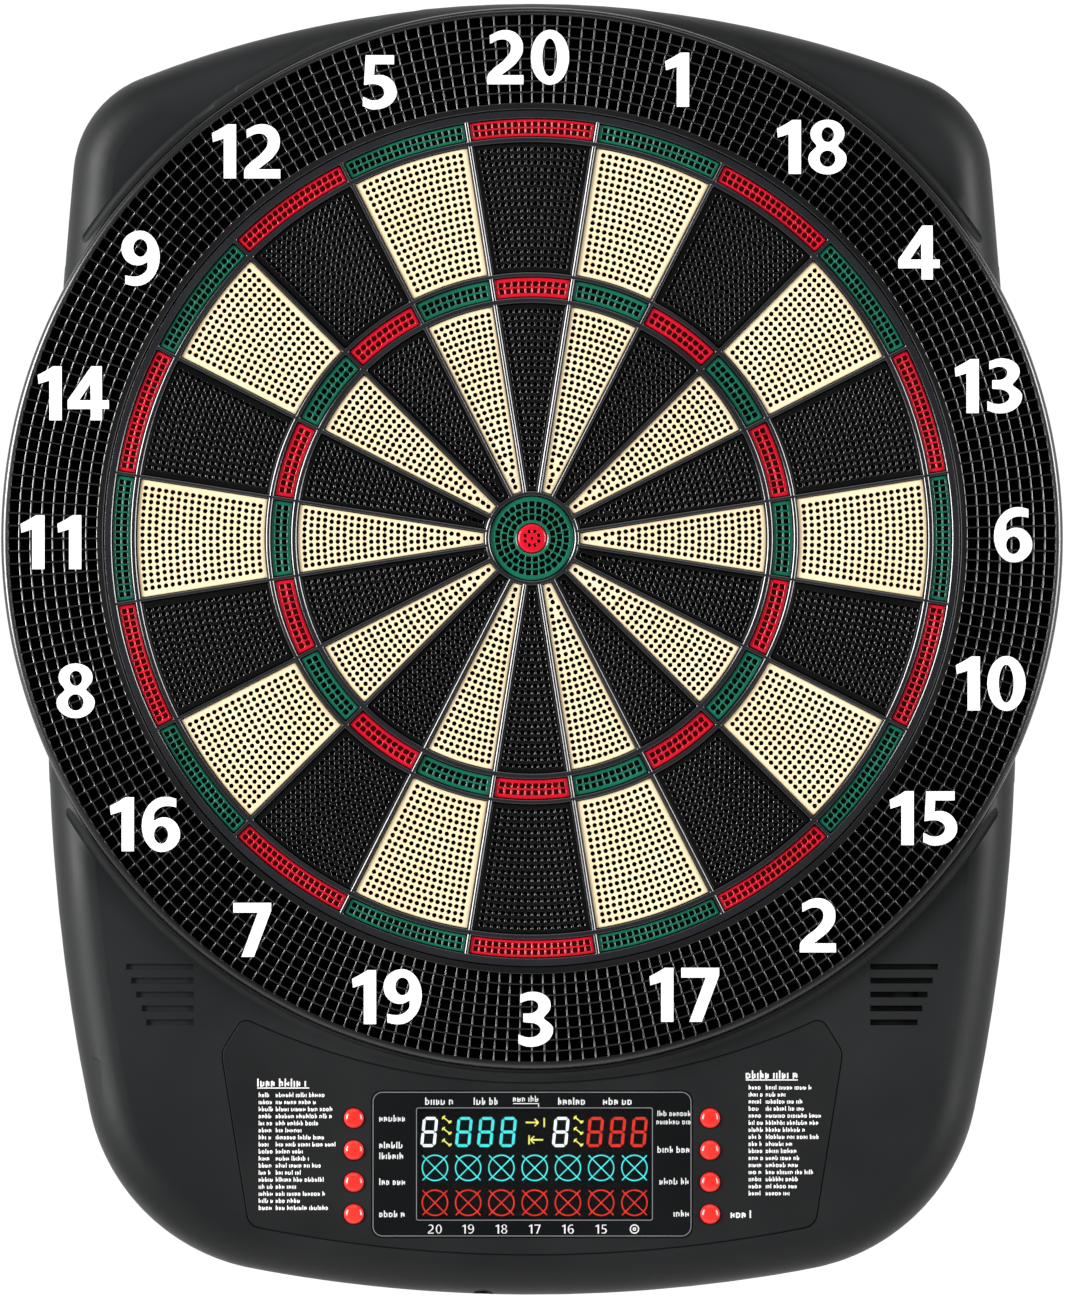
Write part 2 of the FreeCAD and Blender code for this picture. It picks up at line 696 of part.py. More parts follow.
def display_module():
    """Body of the lit display, with its pins through the circuit board."""
    front = casing_depth - panel_thickness - 0.2
    body = block(0, window_centre, screen_width + 2, screen_height + 2, pcb_depth, front)
    face = block(0, window_centre, screen_width, screen_height, front - 0.4, front + 1)
    pins = [
        disc(0.35, pcb_depth - pcb_thickness - 1.2, pcb_depth + 0.5, (i - 9.5) * 4.6, window_centre + s * 19.5)
        for i in range(20)
        for s in (-1, 1)
    ]
    return joined(body.cut(face), *pins)


def button(x, z):
    """A domed cap with a flange behind the casing, and the plunger of the switch that it presses."""
    flange_front = casing_depth - wall
    top = casing_depth + button_rise
    switch_front = pcb_depth + switch_height
    cap = disc(button_radius, flange_front - 0.2, top, x, z)
    rim = [e for e in cap.Edges if abs(e.BoundBox.YMax + top) < 0.01]
    cap = cap.makeFillet(1.3, rim)
    flange = disc(button_radius + 1.3, flange_front - 1.2, flange_front - 0.05, x, z)
    stem = disc(2.2, switch_front + plunger_rise, flange_front - 1, x, z)
    plunger = disc(plunger_radius, pcb_depth + 2.0, switch_front + plunger_rise, x, z)
    return Part.makeCompound([joined(cap, flange, stem), plunger])


def push_switches():
    """Square switch bodies on the circuit board, each open in front for its plunger."""
    bodies = []
    for x, z in button_places():
        body = block(x, z, switch_size, switch_size, pcb_depth, pcb_depth + switch_height)
        bodies.append(body.cut(disc(plunger_radius + running_clearance, pcb_depth + 1.2, 40, x, z)))
    return Part.makeCompound(bodies)


def circuit_board():
    rear = pcb_depth - pcb_thickness
    board = block(0, window_centre, pcb_width, pcb_height, rear, pcb_depth)
    holes = [disc(screw_radius + 0.15, 0, 40, x, z) for x, z in pcb_screw_places()]
    holes += [
        disc(0.45, 0, 40, (i - 9.5) * 4.6, window_centre + s * 19.5) for i in range(20) for s in (-1, 1)
    ]
    return board.cut(holes)


def circuit_parts():
    """What is soldered behind the board: processor, its resin blob, capacitors and connectors."""
    rear = pcb_depth - pcb_thickness
    z = window_centre
    blob = Part.makeSphere(11, at(-18, z, rear + 8.6)).common(block(-18, z, 30, 30, 0, rear))
    parts = [blob, block(26, z - 4, 12, 9, rear - 1.6, rear), block(62, z + 13, 10, 6, rear - 5.5, rear)]
    parts += [block(-62, z - 12, 8, 6, rear - 5.5, rear), block(62, z - 14, 8, 6, rear - 5.5, rear)]
    parts += [disc(3.1, rear - 7, rear, x, z - 16) for x in (-44, -35)]
    parts += [block(x, z - 12, 3.2, 1.6, rear - 1, rear) for x in (-6, 0, 6, 12, 40, 46)]
    return Part.makeCompound(parts + [tail_connector()])


connector_depth = pcb_depth - pcb_thickness


def tail_connector():
    """Clamp on the board's upper edge that grips the sensor's tail."""
    z = tail_end + 2.5
    top, low = film_depths[0] + 0.1, board_depth - 0.1
    body = block(0, z, tail_width + 6, 5, board_depth - 1.6, connector_depth)
    return body.cut(block(0, z + 1, tail_width + 0.6, 7.1, low, top))


def speaker():
    sx, sz = speaker_centre
    front = casing_depth - wall
    basket = disc(speaker_radius, front - 3, front, sx, sz)
    basket = basket.cut(Part.makeCone(15.5, 6, 2.6, at(sx, sz, front + 0.01), Vector(0, 1, 0)))
    dome = Part.makeSphere(7, at(sx, sz, front - 7.5)).common(disc(7, front - 3, front, sx, sz))
    back = Part.makeCone(14, 9, 3.5, at(sx, sz, front - 2.9), Vector(0, 1, 0))
    magnet = disc(8.5, front - 11.5, front - 6, sx, sz)
    return joined(basket, dome, back, magnet)


def jack_wall():
    """Height of the casing's outer surface where the power jack looks out of it."""
    arc = math.sqrt(bottom_arc**2 - jack_place**2)
    up = front_rounding - math.sqrt(front_rounding**2 - (jack_depth - parting_depth) ** 2)
    return bottom_arc - body_bottom - arc + up


def power_jack():
    """Socket for a barrel plug, with its centre pin. The nose fills the hole in the casing's underside."""
    width, height, length = jack_size
    base = jack_wall() + wall + 1.6
    mouth = jack_wall() + 0.5
    body = Part.makeBox(width, height, length, Vector(jack_place - width / 2, -jack_depth - height / 2, base))
    up = Vector(0, 0, 1)
    nose = Part.makeCylinder(4.0, base - mouth + 0.5, Vector(jack_place, -jack_depth, mouth), up)
    bore = Part.makeCylinder(jack_bore, 10.5, Vector(jack_place, -jack_depth, mouth - 1), up)
    pin = Part.makeCylinder(jack_pin, 9, Vector(jack_place, -jack_depth, mouth + 1.2), up)
    return joined(joined(body, nose).cut(bore), pin)


# ---- screws and leads -----------------------------------------------------------------------------
def screw(x, z, head_rear, length):
    """Pan-head screw driven from behind. head_rear is the depth of the head's rear face."""
    under = head_rear + screw_head_height
    head = disc(screw_head, head_rear, under, x, z)
    rim = [e for e in head.Edges if abs(e.BoundBox.YMin + head_rear) < 0.01]
    head = head.makeFillet(0.9, rim)
    shank = disc(screw_radius, under - 0.5, under + length, x, z)
    slots = [block(x, z, 3.4, 0.8, 0, head_rear + 0.9), block(x, z, 0.8, 3.4, 0, head_rear + 0.9)]
    return joined(head, shank).cut(slots)


def casing_screws():
    return Part.makeCompound([screw(x, z, 0.35, 9.5) for x, z in mirrored(case_screws)])


def target_screws():
    head_rear = board_rear - screw_head_height
    return Part.makeCompound([screw(*polar(clamp_circle, a), head_rear, 13) for a in clamp_angles()])


def board_screws():
    head_rear = pcb_depth - pcb_thickness - screw_head_height
    return Part.makeCompound([screw(x, z, head_rear, 7) for x, z in pcb_screw_places()])


def lead(points, radius):
    """Insulated wire along straight runs joined by tangent arcs, each as large as its runs allow."""
    route = [at(*p) for p in points]
    edges, start = [], route[0]
    for a, b, c in zip(route, route[1:], route[2:]):
        into, out = (b - a).normalize(), (c - b).normalize()
        reach = 0.45 * min((b - a).Length, (c - b).Length)
        bend = (out - into).normalize()
        half = into.getAngle(out) / 2
        drop = reach * (1 / math.cos(half) - 1) / math.tan(half)
        first, last = b - into * reach, b + out * reach
        edges.append(Part.LineSegment(start, first).toShape())
        edges.append(Part.Arc(first, b + bend * drop, last).toShape())
        start = last
    edges.append(Part.LineSegment(start, route[-1]).toShape())
    path = Part.Wire(edges)
    section = Part.Wire(Part.makeCircle(radius, route[0], route[1] - route[0]))
    return path.makePipeShell([section], True, False)


lead_radius = 0.7


def wire_leads():
    """Pairs of leads from the circuit board to the speaker, the battery box and the power jack."""
    z = window_centre
    y = connector_depth - 3.0
    pairs = []
    for d in (0.0, 2.2):
        pairs.append([(66.9, z + 12 + d, y), (86, z + 16 + d, y), (108, z + 34 + d, y - 1), (126, z + 55 + d, y - 1),
                      (143.4, z + 63 + d, 14.5)])
        pairs.append([(-65.9, z - 13 + d, y), (-77, z - 12 + d, y), (-88.9, z - 10 + d, y)])
        x = jack_place + d - 1.1
        pairs.append([(x, z - 24, connector_depth), (x, z - 26, y - 1), (x, z - 33, y - 1), (x, z - 36, y)])
    return Part.makeCompound([lead(points, lead_radius) for points in pairs])


def main():
    os.makedirs("parts", exist_ok=True)
    nodes = {
        "front_casing": front_casing(),
        "number_ring": number_ring(),
        "spider": spider(),
        "bull_outer": bull_outer(),
        "bull_inner": bull_inner(),
        "rubber_mat": rubber_mat(),
        "sensor_film_front": sensor_sheet(film_depths[0]),
        "sensor_spacer": sensor_sheet(film_depths[1], holes=True),
        "sensor_film_rear": sensor_sheet(film_depths[2]),
        "backing_board": backing_board(),
        "back_cover": back_cover(),
        "battery_door": battery_door(),
        "batteries": batteries(),
        "battery_contacts": battery_contacts(),
        "control_panel": control_panel(),
        "display_window": display_window(),
        "display_module": display_module(),
        "push_switches": push_switches(),
        "circuit_board": circuit_board(),
        "circuit_parts": circuit_parts(),
        "speaker": speaker(),
        "power_jack": power_jack(),
        "casing_screws": casing_screws(),
        "target_screws": target_screws(),
        "board_screws": board_screws(),
        "wire_leads": wire_leads(),
    }
    nodes.update(target_segments())
    for name, (x, z) in zip(button_names, button_places()):
        nodes[f"button_{name}"] = button(x, z)
    for name, shape in nodes.items():
        shape.exportStep(f"parts/{name}.step")
    print(len(nodes), "nodes")


main()
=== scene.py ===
"""Looks of the wall-hung electronic dartboard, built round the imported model.

Sizes are in millimetres until a point is placed. A point is given as across (x), up (z) and its depth in
front of the wall, from the origin behind the centre of the bull.
"""

import json
import math
import random

import bmesh
import bpy
from mathutils import Matrix, Vector


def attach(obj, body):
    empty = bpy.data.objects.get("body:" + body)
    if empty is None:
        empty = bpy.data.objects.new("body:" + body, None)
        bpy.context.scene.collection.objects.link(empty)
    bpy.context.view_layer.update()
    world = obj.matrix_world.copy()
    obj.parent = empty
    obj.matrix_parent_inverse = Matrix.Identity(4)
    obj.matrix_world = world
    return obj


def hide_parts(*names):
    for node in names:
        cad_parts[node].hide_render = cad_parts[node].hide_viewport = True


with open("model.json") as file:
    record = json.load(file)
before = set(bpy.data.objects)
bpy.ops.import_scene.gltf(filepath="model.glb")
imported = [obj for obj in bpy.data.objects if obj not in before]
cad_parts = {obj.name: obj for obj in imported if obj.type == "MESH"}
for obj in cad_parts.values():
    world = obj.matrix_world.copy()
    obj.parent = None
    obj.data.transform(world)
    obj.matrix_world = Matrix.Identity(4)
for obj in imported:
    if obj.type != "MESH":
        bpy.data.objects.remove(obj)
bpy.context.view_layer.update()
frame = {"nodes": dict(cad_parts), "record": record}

MM = 0.001
scene = bpy.context.scene
random.seed(7)

# ---- camera ---------------------------------------------------------------------------------------
EYE = (0.0002, -4.030, -0.0455)  # in metres
FACE_DISTANCE = 4.0            # from the camera to the number ring's front, in metres
FACE_WIDTH = 0.4359            # width of what is seen at that distance
SENSOR = 36.0

camera_data = bpy.data.cameras.new("camera")
camera_data.sensor_fit = "HORIZONTAL"
camera_data.sensor_width = SENSOR
camera_data.lens = SENSOR * FACE_DISTANCE / FACE_WIDTH
camera = bpy.data.objects.new("camera", camera_data)
camera.location = EYE
camera.rotation_euler = (math.pi / 2, 0, 0)
scene.collection.objects.link(camera)
scene.camera = camera
scene.view_settings.view_transform = "Standard"

# ---- sizes of the board ---------------------------------------------------------------------------
SECTOR = math.pi / 10
HALF_GAP = 1.15                # from a sector's edge to the segment beside it
SEGMENT_DEPTH = 30.2
LIP_FRONT = 14.5
LIP_BACK = 13.2
SEGMENT_REAR = 12.8
LIP_REACH = 0.9
EDGE = 0.35                    # chamfer round a segment's face
PIT_CHAMFER = 0.1
CHAMFER_SLOPE = 0.55           # drop of a chamfer for its width
PIT_DEPTH = 6.0
PIT_DRAFT = 0.02               # narrowing of a pit for its depth, on each side
WEB_DEPTH = 31.5
WEB_WALL = 1.5
WEB_RINGS = [(17.5, 19.3), (96.3, 98.6), (107.1, 108.9), (162.1, 164.3), (171.9, 175.2)]
SCORES = [20, 1, 18, 4, 13, 6, 10, 15, 2, 17, 3, 19, 7, 16, 8, 11, 14, 9, 12, 5]
PANEL_DEPTH = 25.0
WINDOW_DEPTH = 24.9
SCREEN_DEPTH = 23.2


# ---- finishes -------------------------------------------------------------------------------------
def linear(code):
    """An sRGB hex colour as the linear values that a shader takes."""
    parts = [int(code[i : i + 2], 16) / 255 for i in (1, 3, 5)]
    return tuple(c / 12.92 if c <= 0.04045 else ((c + 0.055) / 1.055) ** 2.4 for c in parts) + (1.0,)


def add(tree, kind, inputs=None, **settings):
    """Adds a node with its settings. An input is given a value, or linked where it is a socket."""
    made = tree.nodes.new("ShaderNode" + kind)
    for key, value in settings.items():
        setattr(made, key, value)
    for key, value in (inputs or {}).items():
        if isinstance(value, bpy.types.NodeSocket):
            tree.links.new(value, made.inputs[key])
        else:
            made.inputs[key].default_value = value
    return made


def finish(name, colour, other, patch, roughness, grain, height, **shader):
    """A finish with two tones in soft patches, a fine surface grain and an uneven sheen.

    patch and grain are sizes in millimetres, and height is how far the grain stands up.
    """
    made = bpy.data.materials.new(name)
    made.use_nodes = True
    tree = made.node_tree
    tree.nodes.clear()
    place = add(tree, "TexCoord").outputs["Object"]
    patches = add(tree, "TexNoise", {"Vector": place, "Scale": 1000 / patch, "Detail": 3.0})
    grains = add(tree, "TexNoise", {"Vector": place, "Scale": 1000 / grain, "Detail": 2.0})
    spread = {"Value": patches.outputs["Fac"], "From Min": 0.3, "From Max": 0.7}
    tone = add(tree, "MapRange", dict(spread))
    mixed = add(tree, "Mix", {0: tone.outputs[0], 6: linear(colour), 7: linear(other)}, data_type="RGBA")
    sheen = add(tree, "MapRange", dict(spread, **{"To Min": roughness * 0.88, "To Max": roughness * 1.12}))
    bump = add(tree, "Bump", {"Height": grains.outputs["Fac"], "Distance": height * MM, "Strength": 1.0})
    inputs = {"Base Color": mixed.outputs[2], "Roughness": sheen.outputs[0], "Normal": bump.outputs[0]}
    inputs.update({key.replace("_", " "): value for key, value in shader.items()})
    if "Emission Color" in inputs:
        inputs["Emission Color"] = mixed.outputs[2]
    surface = add(tree, "BsdfPrincipled", inputs)
    add(tree, "OutputMaterial", {"Surface": surface.outputs[0]})
    return made


# Moulded ABS with a fine spark-eroded grain: a soft, slightly uneven sheen on black.
casing_abs = finish("satin black ABS", "#18191A", "#1C1D1E", 60, 0.48, 0.6, 0.03, Specular_IOR_Level=0.25)
# The same resin from a coarser tool: duller, with a visible grain.
cover_abs = finish("textured black ABS", "#1A1A1B", "#212122", 45, 0.55, 1.1, 0.05, IOR=1.53)
# Polished tool faces on the catch ring: the tops of its ribs shine.
ring_abs = finish(
    "moulded black ABS ring", "#0C0C0D", "#111112", 50, 0.25, 0.8, 0.008, Specular_IOR_Level=1.0
)
# Glass-filled nylon web: dark grey, with a low shine that runs along its edges.
web_nylon = finish("dark grey nylon", "#1A1B1E", "#202125", 30, 0.22, 0.7, 0.008, Specular_IOR_Level=0.9)
# Polypropylene segments keep the gloss of their polished mould, with faint flow marks.
black_pp = finish(
    "glossy black polypropylene", "#050506", "#09090A", 25, 0.20, 0.9, 0.006, Specular_IOR_Level=0.7
)
cream_pp = finish("cream polypropylene", "#EDDCB8", "#E6D1A8", 35, 0.34, 0.9, 0.010, IOR=1.49)
red_pp = finish("glossy red polypropylene", "#D01229", "#BC0E22", 25, 0.24, 0.9, 0.010, IOR=1.49)
green_pp = finish("glossy green polypropylene", "#146A52", "#0E5A45", 25, 0.24, 0.9, 0.010, IOR=1.49)
# Painted shade: the bottoms of the pits are given darker, duller copies of the face colours, for the shade
# that lies in them.
painted_shade_red = finish("red polypropylene with painted pit shade", "#8E0918", "#7F0815", 25, 0.45, 0.9, 0.010, IOR=1.49)
painted_shade_green = finish("green polypropylene with painted pit shade", "#032017", "#021811", 25, 0.45, 0.9, 0.010, IOR=1.49)
painted_shade_black = finish(
    "black plastic with painted pit shade", "#040404", "#060606", 30, 0.8, 0.9, 0.01, Specular_IOR_Level=0.1
)
# Gloss-moulded caps in a bright, slightly soft red.
button_abs = finish("glossy red ABS", "#F2382F", "#E62A24", 12, 0.20, 1.0, 0.005, IOR=1.53, Coat_Weight=0.3)
# Pad-printed inks: dense and nearly matt.
white_ink = finish("white ink", "#FCFCFB", "#F4F4F2", 20, 0.55, 0.5, 0.006)
grey_ink = finish("pale grey ink", "#DADBDA", "#C9CAC9", 15, 0.60, 0.4, 0.004)
line_ink = finish("mid grey ink", "#7C7E80", "#6E7072", 15, 0.60, 0.4, 0.004)
# Polycarbonate label film with a velvet face.
panel_film = finish(
    "velvet polycarbonate film", "#141516", "#171819", 50, 0.48, 0.35, 0.006, Specular_IOR_Level=0.3
)
# Acrylic printed black from behind: deep and smooth. Over the display it is left clear.
window_acrylic = finish("back-printed acrylic", "#0C0D0E", "#101112", 60, 0.25, 2.0, 0.002, IOR=1.49)
clear_acrylic = finish(
    "smoked clear acrylic", "#E9ECEE", "#E4E8EA", 80, 0.04, 5.0, 0.001, IOR=1.49, Transmission_Weight=1.0
)
# Black epoxy of the display face, matt so that only the lit parts show.
display_epoxy = finish("matt black epoxy", "#040405", "#060607", 30, 0.60, 0.5, 0.01, Specular_IOR_Level=0.2)
# Lit parts: a coloured diffuser over a lamp glows a little unevenly.
lit = {
    name: finish(
        f"lit {name} diffuser", strong, weak, 3.0, 0.5, 1.0, 0.004, Emission_Color=None, Emission_Strength=1.0
    )
    for name, strong, weak in (
        ("white", "#F6F8F6", "#E6EAE8"),
        ("cyan", "#4FE0DC", "#3CCFCC"),
        ("red", "#E0301E", "#CC2416"),
        ("yellow", "#E9E36E", "#D8D25C"),
    )
}
# Moulded epoxy of the circuit's parts: dark and matt.
component_epoxy = finish("moulded black epoxy", "#1E1E20", "#262628", 10, 0.55, 0.4, 0.02)
# Lacquer over fibreglass: a glossy skin with the weave faint below it.
solder_mask = finish("green solder mask", "#16552E", "#1D6637", 12, 0.32, 0.8, 0.02, Coat_Weight=0.4)
# Pressed paper pulp: fibrous and almost without shine.
cone_paper = finish("black pulp cone", "#060606", "#0B0B0B", 6, 0.85, 0.7, 0.06, Specular_IOR_Level=0.1)
# Silicone rubber: soft and dull.
mat_rubber = finish("soft black rubber", "#1D1D1E", "#272728", 30, 0.70, 0.5, 0.03)
# Clear film backed with conductive print: pale and smooth.
polyester = finish("polyester film", "#C6CBCE", "#B7BDC1", 60, 0.25, 3.0, 0.01, IOR=1.57)
# Wood fibres pressed hot: brown and mottled, with a matt face.
hardboard = finish("pressed hardboard", "#8A5A33", "#6E4526", 4, 0.70, 0.5, 0.06)
# Lacquer printed on a tinplate can: golden, with the metal showing through.
can_print = finish("printed tinplate can", "#B98A2B", "#A67A22", 20, 0.30, 1.0, 0.01, Metallic=0.7)
# Plated spring steel: warm and bright.
nickel = finish("nickel-plated spring steel", "#C9C4B8", "#B4AFA3", 5, 0.28, 0.3, 0.006, Metallic=1.0)
# Plated screws: greyer, with a patchy passivated skin.
zinc = finish("zinc-plated steel", "#AEB0B4", "#8F9297", 3, 0.36, 0.3, 0.01, Metallic=1.0)
# Soft insulation drawn over the wires: an even, low gloss.
pvc = finish("PVC insulation", "#A01418", "#8C0F13", 10, 0.40, 0.6, 0.01)

SLOT_FINISH = {
    "casing": casing_abs,
    "rear_cover": cover_abs,
    "number_ring": ring_abs,
    "web": web_nylon,
    "black_segments": black_pp,
    "cream_segments": cream_pp,
    "red_segments": red_pp,
    "green_segments": green_pp,
    "red_buttons": button_abs,
    "panel": panel_film,
    "smoked_window": window_acrylic,
    "display": display_epoxy,
    "component_black": component_epoxy,
    "circuit_board": solder_mask,
    "speaker": cone_paper,
    "mat": mat_rubber,
    "film": polyester,
    "hardboard": hardboard,
    "cells": can_print,
    "nickel_plate": nickel,
    "screws": zinc,
    "lead_insulation": pvc,
}
for part in frame["record"]["subparts"]:
    for material_slot in frame["nodes"][part["node"]].material_slots:
        material_slot.material = SLOT_FINISH[part["material_slot"]]


# ---- building -------------------------------------------------------------------------------------
WELD_REACH = 2e-6              # in metres, far below any real step between points
# Edges under this many degrees are shaded round. The flat one keeps the chamfers round the pits crisp.
SMOOTH_FLAT, SMOOTH_ROUND = 22, 35


class Shell:
    """Points and faces of one piece while it is being made."""

    def __init__(self):
        self.points = []
        self.faces = []
        self.floors = []

    def put(self, places, depth):
        """Adds points at (across, up) at one depth and gives back their numbers."""
        first = len(self.points)
        self.points += [(x * MM, -depth * MM, z * MM) for x, z in places]
        return list(range(first, len(self.points)))

    def wall(self, a, b, closed=True):
        """Quads between two rows of points that have the same number."""
        count = len(a) if closed else len(a) - 1
        for i in range(count):
            j = (i + 1) % len(a)
            self.faces.append((a[i], a[j], b[j], b[i]))

    def collar(self, outer, inner, x, z):
        """Triangles between two loops of any number of points round the place (x, z)."""

        def sorted_round(loop):
            turned = [(math.atan2(self.points[i][2] - z * MM, self.points[i][0] - x * MM), i) for i in loop]
            return sorted(turned)

        a, b = sorted_round(outer), sorted_round(inner)
        i = j = 0
        while i < len(a) or j < len(b):
            next_a = a[(i + 1) % len(a)][0] + 2 * math.pi * ((i + 1) // len(a))
            next_b = b[(j + 1) % len(b)][0] + 2 * math.pi * ((j + 1) // len(b))
            here_a, here_b = a[i % len(a)][1], b[j % len(b)][1]
            if j == len(b) or (i < len(a) and next_a <= next_b):
                self.faces.append((here_a, a[(i + 1) % len(a)][1], here_b))
                i += 1
            else:
                self.faces.append((here_a, b[(j + 1) % len(b)][1], here_b))
                j += 1

    def plate(self, outline, depth, thickness):
        """A thin flat plate with that outline, standing on a surface at that depth."""
        front, back = self.put(outline, depth + thickness), self.put(outline, depth)
        self.faces += [tuple(front), tuple(back)]
        self.wall(front, back)

    def hoop(self, x, z, radius, line, depth, thickness, steps=28):
        """A thin flat ring."""
        turns = [2 * math.pi * i / steps for i in range(steps)]
        outer, inner, front = radius + line / 2, radius - line / 2, depth + thickness
        loops = []
        for r, level in ((outer, depth), (outer, front), (inner, front), (inner, depth)):
            places = [(x + r * math.cos(t), z + r * math.sin(t)) for t in turns]
            loops.append(self.put(places, level))
        for a, b in zip(loops, loops[1:] + loops[:1]):
            self.wall(a, b)


def piece(
    shell, name, material, body="board", nodes=(), weld=False, smooth=0, floor_material=None
):
    """Makes the shell a mesh that rides on a body and takes the place of the nodes.

    weld joins points that lie together, smooth is the angle in degrees under which edges are shaded round,
    and floor_material is given to the bottoms of the pits.
    """
    mesh = bpy.data.meshes.new(name)
    mesh.from_pydata(shell.points, [], shell.faces)
    mesh.materials.append(material)
    if floor_material:
        mesh.materials.append(floor_material)
        for i in shell.floors:
            mesh.polygons[i].material_index = 1
    work = bmesh.new()
    work.from_mesh(mesh)
    if weld:
        bmesh.ops.remove_doubles(work, verts=work.verts, dist=WELD_REACH)
    bmesh.ops.recalc_face_normals(work, faces=work.faces)
    work.to_mesh(mesh)
    work.free()
    if smooth:
        mesh.shade_smooth()
        mesh.set_sharp_from_angle(angle=math.radians(smooth))
    made = bpy.data.objects.new(name, mesh)
    scene.collection.objects.link(made)
    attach(made, body)
    if nodes:
        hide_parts(*nodes)
    return made


def polar(radius, angle):
    """Across and up of a place given by its distance from the bull and its angle, clockwise from the top."""
    return radius * math.sin(angle), radius * math.cos(angle)


def perforate(shell, edges, rows, half_angle, centre, top, bore):
    """Fills a band with rows of pits.

    edges are the radii between the rows. Each row is (radius, places across from -1 to 1, size). bore is
    (outline of a pit of size 1, chamfer, depth). Gives back each edge's points by their place across.
    """
    mouth, chamfer, deep = bore
    splits = [[-1.0] + [round((a + b) / 2, 6) for a, b in zip(us, us[1:])] + [1.0] for _, us, _ in rows]
    corners = []
    for k, radius in enumerate(edges):
        across = sorted({u for near in splits[max(k - 1, 0) : k + 1] for u in near})
        places = [polar(radius, centre + u * half_angle(radius)) for u in across]
        corners.append(dict(zip(across, shell.put(places, top))))
    for k, (radius, us, size) in enumerate(rows):
        low_edge, high_edge = list(corners[k].items()), list(corners[k + 1].items())
        for u, left, right in zip(us, splits[k], splits[k][1:]):
            cell = [i for v, i in low_edge + high_edge if left <= v <= right]
            angle = centre + u * half_angle(radius)
            x, z = polar(radius, angle)
            sin, cos = math.sin(angle), math.cos(angle)
            levels = [(chamfer, top), (0, top - CHAMFER_SLOPE * chamfer), (-PIT_DRAFT * deep, top - deep)]
            loops = []
            for grow, depth in levels:
                ring = [((size[0] + grow) * px, (size[1] + grow) * pz) for px, pz in mouth]
                places = [(x + a * cos + b * sin, z + b * cos - a * sin) for a, b in ring]
                loops.append(shell.put(places, depth))
            shell.collar(cell, loops[0], x, z)
            shell.wall(loops[0], loops[1])
            shell.wall(loops[1], loops[2])
            shell.floors.append(len(shell.faces))
            shell.faces.append(tuple(loops[2]))
    return corners


# ---- target segments ------------------------------------------------------------------------------
def segment(shell, inner, outer, rows, number, bore):
    """One segment: its pitted face, chamfered rim, sides, and the lip that keeps it behind the web."""
    centre = number * SECTOR

    def half_angle(inset):
        return lambda radius: SECTOR / 2 - math.asin((HALF_GAP + inset) / radius)

    radii = [r for r, _, _ in rows]
    edges = [inner + EDGE] + [(a + b) / 2 for a, b in zip(radii, radii[1:])] + [outer - EDGE]
    corners = perforate(shell, edges, rows, half_angle(EDGE), centre, SEGMENT_DEPTH, bore)
    last = len(edges) - 1
    rim = [(0, u) for u in corners[0]]
    rim += [(k, 1.0) for k in range(1, last)]
    rim += [(last, u) for u in reversed(corners[last])]
    rim += [(k, -1.0) for k in range(last - 1, 0, -1)]
    loop = [corners[k][u] for k, u in rim]
    profile = [(0, SEGMENT_DEPTH - CHAMFER_SLOPE * EDGE), (0, LIP_FRONT), (-LIP_REACH, LIP_FRONT),
               (-LIP_REACH, LIP_BACK), (0, LIP_BACK), (0, SEGMENT_REAR)]
    for inset, depth in profile:
        places = []
        for k, u in rim:
            radius = {0: inner + inset, last: outer - inset}.get(k, edges[k])
            places.append(polar(radius, centre + u * half_angle(inset)(radius)))
        below = shell.put(places, depth)
        shell.wall(loop, below)
        loop = below
    shell.faces.append(tuple(loop))


LEAST_PITCH = 2.5              # between the middles of two pits in a row
THIN_WALL = 0.12               # least wall that is left between two pits


def pit_row(radius, count, margin, size):
    """A row of pits that keeps margin from the segment's sides, as places across from -1 to 1."""
    half_width = radius * math.sin(SECTOR / 2) - HALF_GAP
    if count == 1:
        return radius, [0.0], (size, size)
    reach = max(half_width - margin, LEAST_PITCH / 2 * (count - 1))
    pitch = 2 * reach / (count - 1)
    us = [(-reach + pitch * i) / half_width for i in range(count)]
    return radius, us, (min(size, pitch / 2 - PIT_CHAMFER - THIN_WALL / 2), size)


# Rows of pits: how many, radius of the first, step to the next, and margin at the sides.
INNER_ROWS, INNER_FIRST, INNER_STEP, INNER_MARGIN = 27, 22.0, 2.738, 1.9
OUTER_ROWS, OUTER_FIRST, OUTER_STEP, OUTER_MARGIN = 18, 111.9, 2.794, 2.87
OUTER_FEWEST, OUTER_REPEAT = 11, 3    # pits in the first row, and rows until there is one more
SPARE = 0.01                          # keeps a row that only just has room for one more pit from taking it


def inner_single_rows(size):
    rows = []
    for i in range(INNER_ROWS):
        radius = INNER_FIRST + INNER_STEP * i
        half_width = radius * math.sin(SECTOR / 2) - HALF_GAP
        count = max(1, 1 + int(2 * (half_width - INNER_MARGIN) / LEAST_PITCH - SPARE))
        rows.append(pit_row(radius, count, INNER_MARGIN, size))
    return rows


def outer_single_rows(size):
    rows = []
    for i in range(OUTER_ROWS):
        count = OUTER_FEWEST + i // OUTER_REPEAT
        rows.append(pit_row(OUTER_FIRST + OUTER_STEP * i, count, OUTER_MARGIN, size))
    return rows


ROUND_MOUTH = [(math.cos(math.pi * i / 5), math.sin(math.pi * i / 5)) for i in range(10)]


def square_mouth(flat):
    """A square of half width 1 whose corners are cut. flat is the share of a side that stays."""
    return [(1, -flat), (1, flat), (flat, 1), (-flat, 1), (-1, flat), (-1, -flat), (-flat, -1), (flat, -1)]


